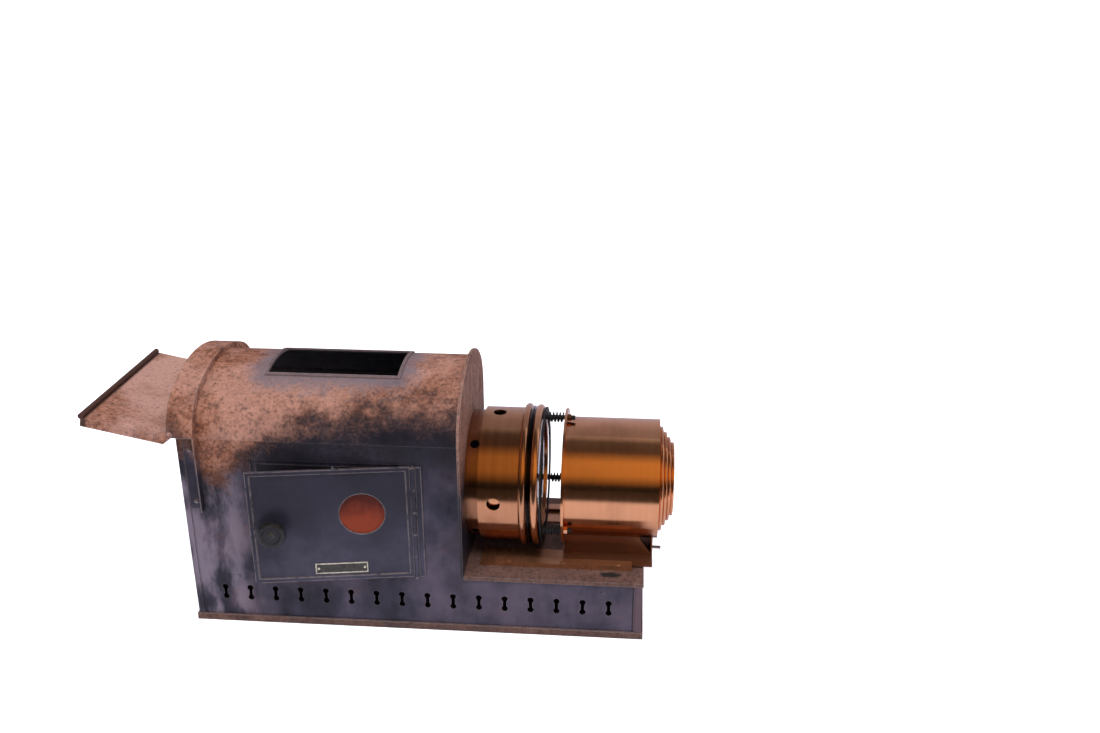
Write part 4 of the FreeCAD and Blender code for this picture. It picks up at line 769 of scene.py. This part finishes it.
# Lamp: a bulb and a dished silvered reflector on a carrier of dull iron.
# The carrier is clamped to a steel pillar on the tray, which draws out at the rear.
SILVER_DULL = (0.55, 0.54, 0.52)
SILVER_BRIGHT = (0.85, 0.85, 0.85)
tray_iron = plain_steel("tray_iron", (0.10, 0.085, 0.08), 0.55, 0.6, 0.0002)
dress(tray_iron, "lamp_tray", "lamp_bracket")
dress(rivet_steel, "lamp_pillar", "bracket_screw")
dress(nut_brass, "lampholder")
dress(clear_glass, "lamp_bulb")
silver_stops = [(0.3, SILVER_DULL), (0.6, SILVER_BRIGHT)]
silvered = tarnished("silvered", 120.0, 4.0, silver_stops, (0.04, 0.16), metallic=1.0)
dress(silvered, "lamp_reflector")

# Studio: a white floor and wall under broad soft light, in a darkened room.
# The brass shows that room: white behind, dark overhead, a warm glow high in front, dark below it.
FLOOR_SIZE = 8.0
WALL_DISTANCE = 2.6
FLOOR_EDGE = -0.27
EDGE_FADE = 0.12
FLOOR_GAP = 0.0004
PAPER = (0.86, 0.86, 0.89, 1.0)
PAPER_IN_BRASS = (0.58, 0.55, 0.64, 1.0)
PAPER_LIGHT = (0.98, 0.98, 1.0, 1.0)
PAPER_GLOW = 0.62
DARK_ROOM = (0.02, 0.018, 0.017, 1.0)
sweep, tree, shader = new_material("sweep")
shader["Roughness"].default_value = 0.9
rays = wire(tree, "LightPath", {}).node.outputs
forward = axis_of(tree, wire(tree, "NewGeometry", {}), "Y")
hidden = spread(tree, forward, FLOOR_EDGE, FLOOR_EDGE - EDGE_FADE)
hidden = product(tree, hidden, rays["Is Glossy Ray"])
paper = blend_of(tree, rays["Is Glossy Ray"], PAPER, PAPER_IN_BRASS)
tree.links.new(blend_of(tree, hidden, paper, DARK_ROOM), shader["Base Color"])
seen = math_of(tree, "MAXIMUM", rays["Is Camera Ray"], rays["Is Transmission Ray"])
tree.links.new(product(tree, seen, PAPER_GLOW), shader["Emission Strength"])
shader["Emission Color"].default_value = PAPER_LIGHT
deselect()
floor_place = (0, WALL_DISTANCE - FLOOR_SIZE / 2, cad_low.z - FLOOR_GAP)
bpy.ops.mesh.primitive_plane_add(size=FLOOR_SIZE, location=floor_place)
floor = bpy.context.object
floor.name = "floor"
floor.data.materials.append(sweep)
bpy.ops.mesh.primitive_plane_add(
    size=FLOOR_SIZE, location=(0, WALL_DISTANCE, FLOOR_SIZE / 2), rotation=(QUARTER_TURN, 0, 0)
)
wall = bpy.context.object
wall.name = "wall"
wall.data.materials.append(sweep)

ROOM = [(0.0, (0.020, 0.017, 0.015)), (0.36, (0.022, 0.018, 0.016)), (0.44, (0.66, 0.36, 0.10)),
        (0.53, (0.72, 0.40, 0.12)), (0.61, (0.10, 0.072, 0.060)), (0.69, (0.12, 0.105, 0.10)),
        (0.78, (0.80, 0.78, 0.86)), (1.0, (0.86, 0.84, 0.92))]
ROOM_LEFT = (0.012, 0.011, 0.011, 1.0)
SKY = (0.44, 0.44, 0.48, 1.0)
WHITE = (1.0, 1.0, 1.0, 1.0)
LIGHT_TARGET = Vector((0.0, 0.0, 0.1))
world = bpy.data.worlds.new("studio")
bpy.context.scene.world = world
world.use_nodes = True
tree = world.node_tree
background = tree.nodes["Background"]
rays = wire(tree, "LightPath", {}).node.outputs
heading = wire(tree, "TexCoord", {}).node.outputs["Generated"]
heading = wire(tree, "SeparateXYZ", {"Vector": heading}).node.outputs
turn = math_of(tree, "ARCTAN2", heading["Z"], product(tree, heading["Y"], -1.0))
turn = wire(tree, "MapRange", {"Value": turn, "From Min": -QUARTER_TURN, "From Max": 2 * QUARTER_TURN})
room = ramp(tree, turn, ROOM)
leftward = spread(tree, heading["X"], -0.04, -0.14, 0.0, 0.72)
room = blend_of(tree, leftward, room, ROOM_LEFT)
sky = blend_of(tree, rays["Is Glossy Ray"], SKY, room)
sky = blend_of(tree, rays["Is Camera Ray"], sky, WHITE)
tree.links.new(sky, background.inputs["Color"])


def soft_light(name, place, width, height, power):
    light = bpy.data.lights.new(name, "AREA")
    light.shape = "RECTANGLE"
    light.size = width
    light.size_y = height
    light.energy = power
    lamp = bpy.data.objects.new(name, light)
    bpy.context.scene.collection.objects.link(lamp)
    lamp.location = place
    lamp.rotation_mode = "QUATERNION"
    lamp.rotation_quaternion = (LIGHT_TARGET - Vector(place)).to_track_quat("-Z", "Y")
    lamp.visible_glossy = False


soft_light("top_light", (0.1, -0.75, 1.75), 1.6, 0.7, 34.0)
soft_light("left_fill", (-1.7, -0.7, 0.9), 0.9, 1.2, 9.0)
soft_light("right_fill", (1.9, -0.5, 0.9), 0.9, 1.2, 9.0)

# Camera: above the lantern and to the right of its door, looking down on it.
# Its place and lens were fitted to the plinth's corners and the rings of the tubes.
CAMERA_PLACE = (0.1730, -0.8302, 0.5452)
CAMERA_HEADING = (-0.0731, 0.9262, -0.3698)
CAMERA_LENS = 35.58
CAMERA_SENSOR = 36.0
camera_data = bpy.data.cameras.new("camera")
camera_data.sensor_width = CAMERA_SENSOR
camera_data.lens = CAMERA_LENS
camera = bpy.data.objects.new("camera", camera_data)
bpy.context.scene.collection.objects.link(camera)
camera.location = CAMERA_PLACE
camera.rotation_mode = "QUATERNION"
camera.rotation_quaternion = Vector(CAMERA_HEADING).to_track_quat("-Z", "Y")
bpy.context.scene.camera = camera
bpy.context.scene.view_settings.view_transform = "Standard"
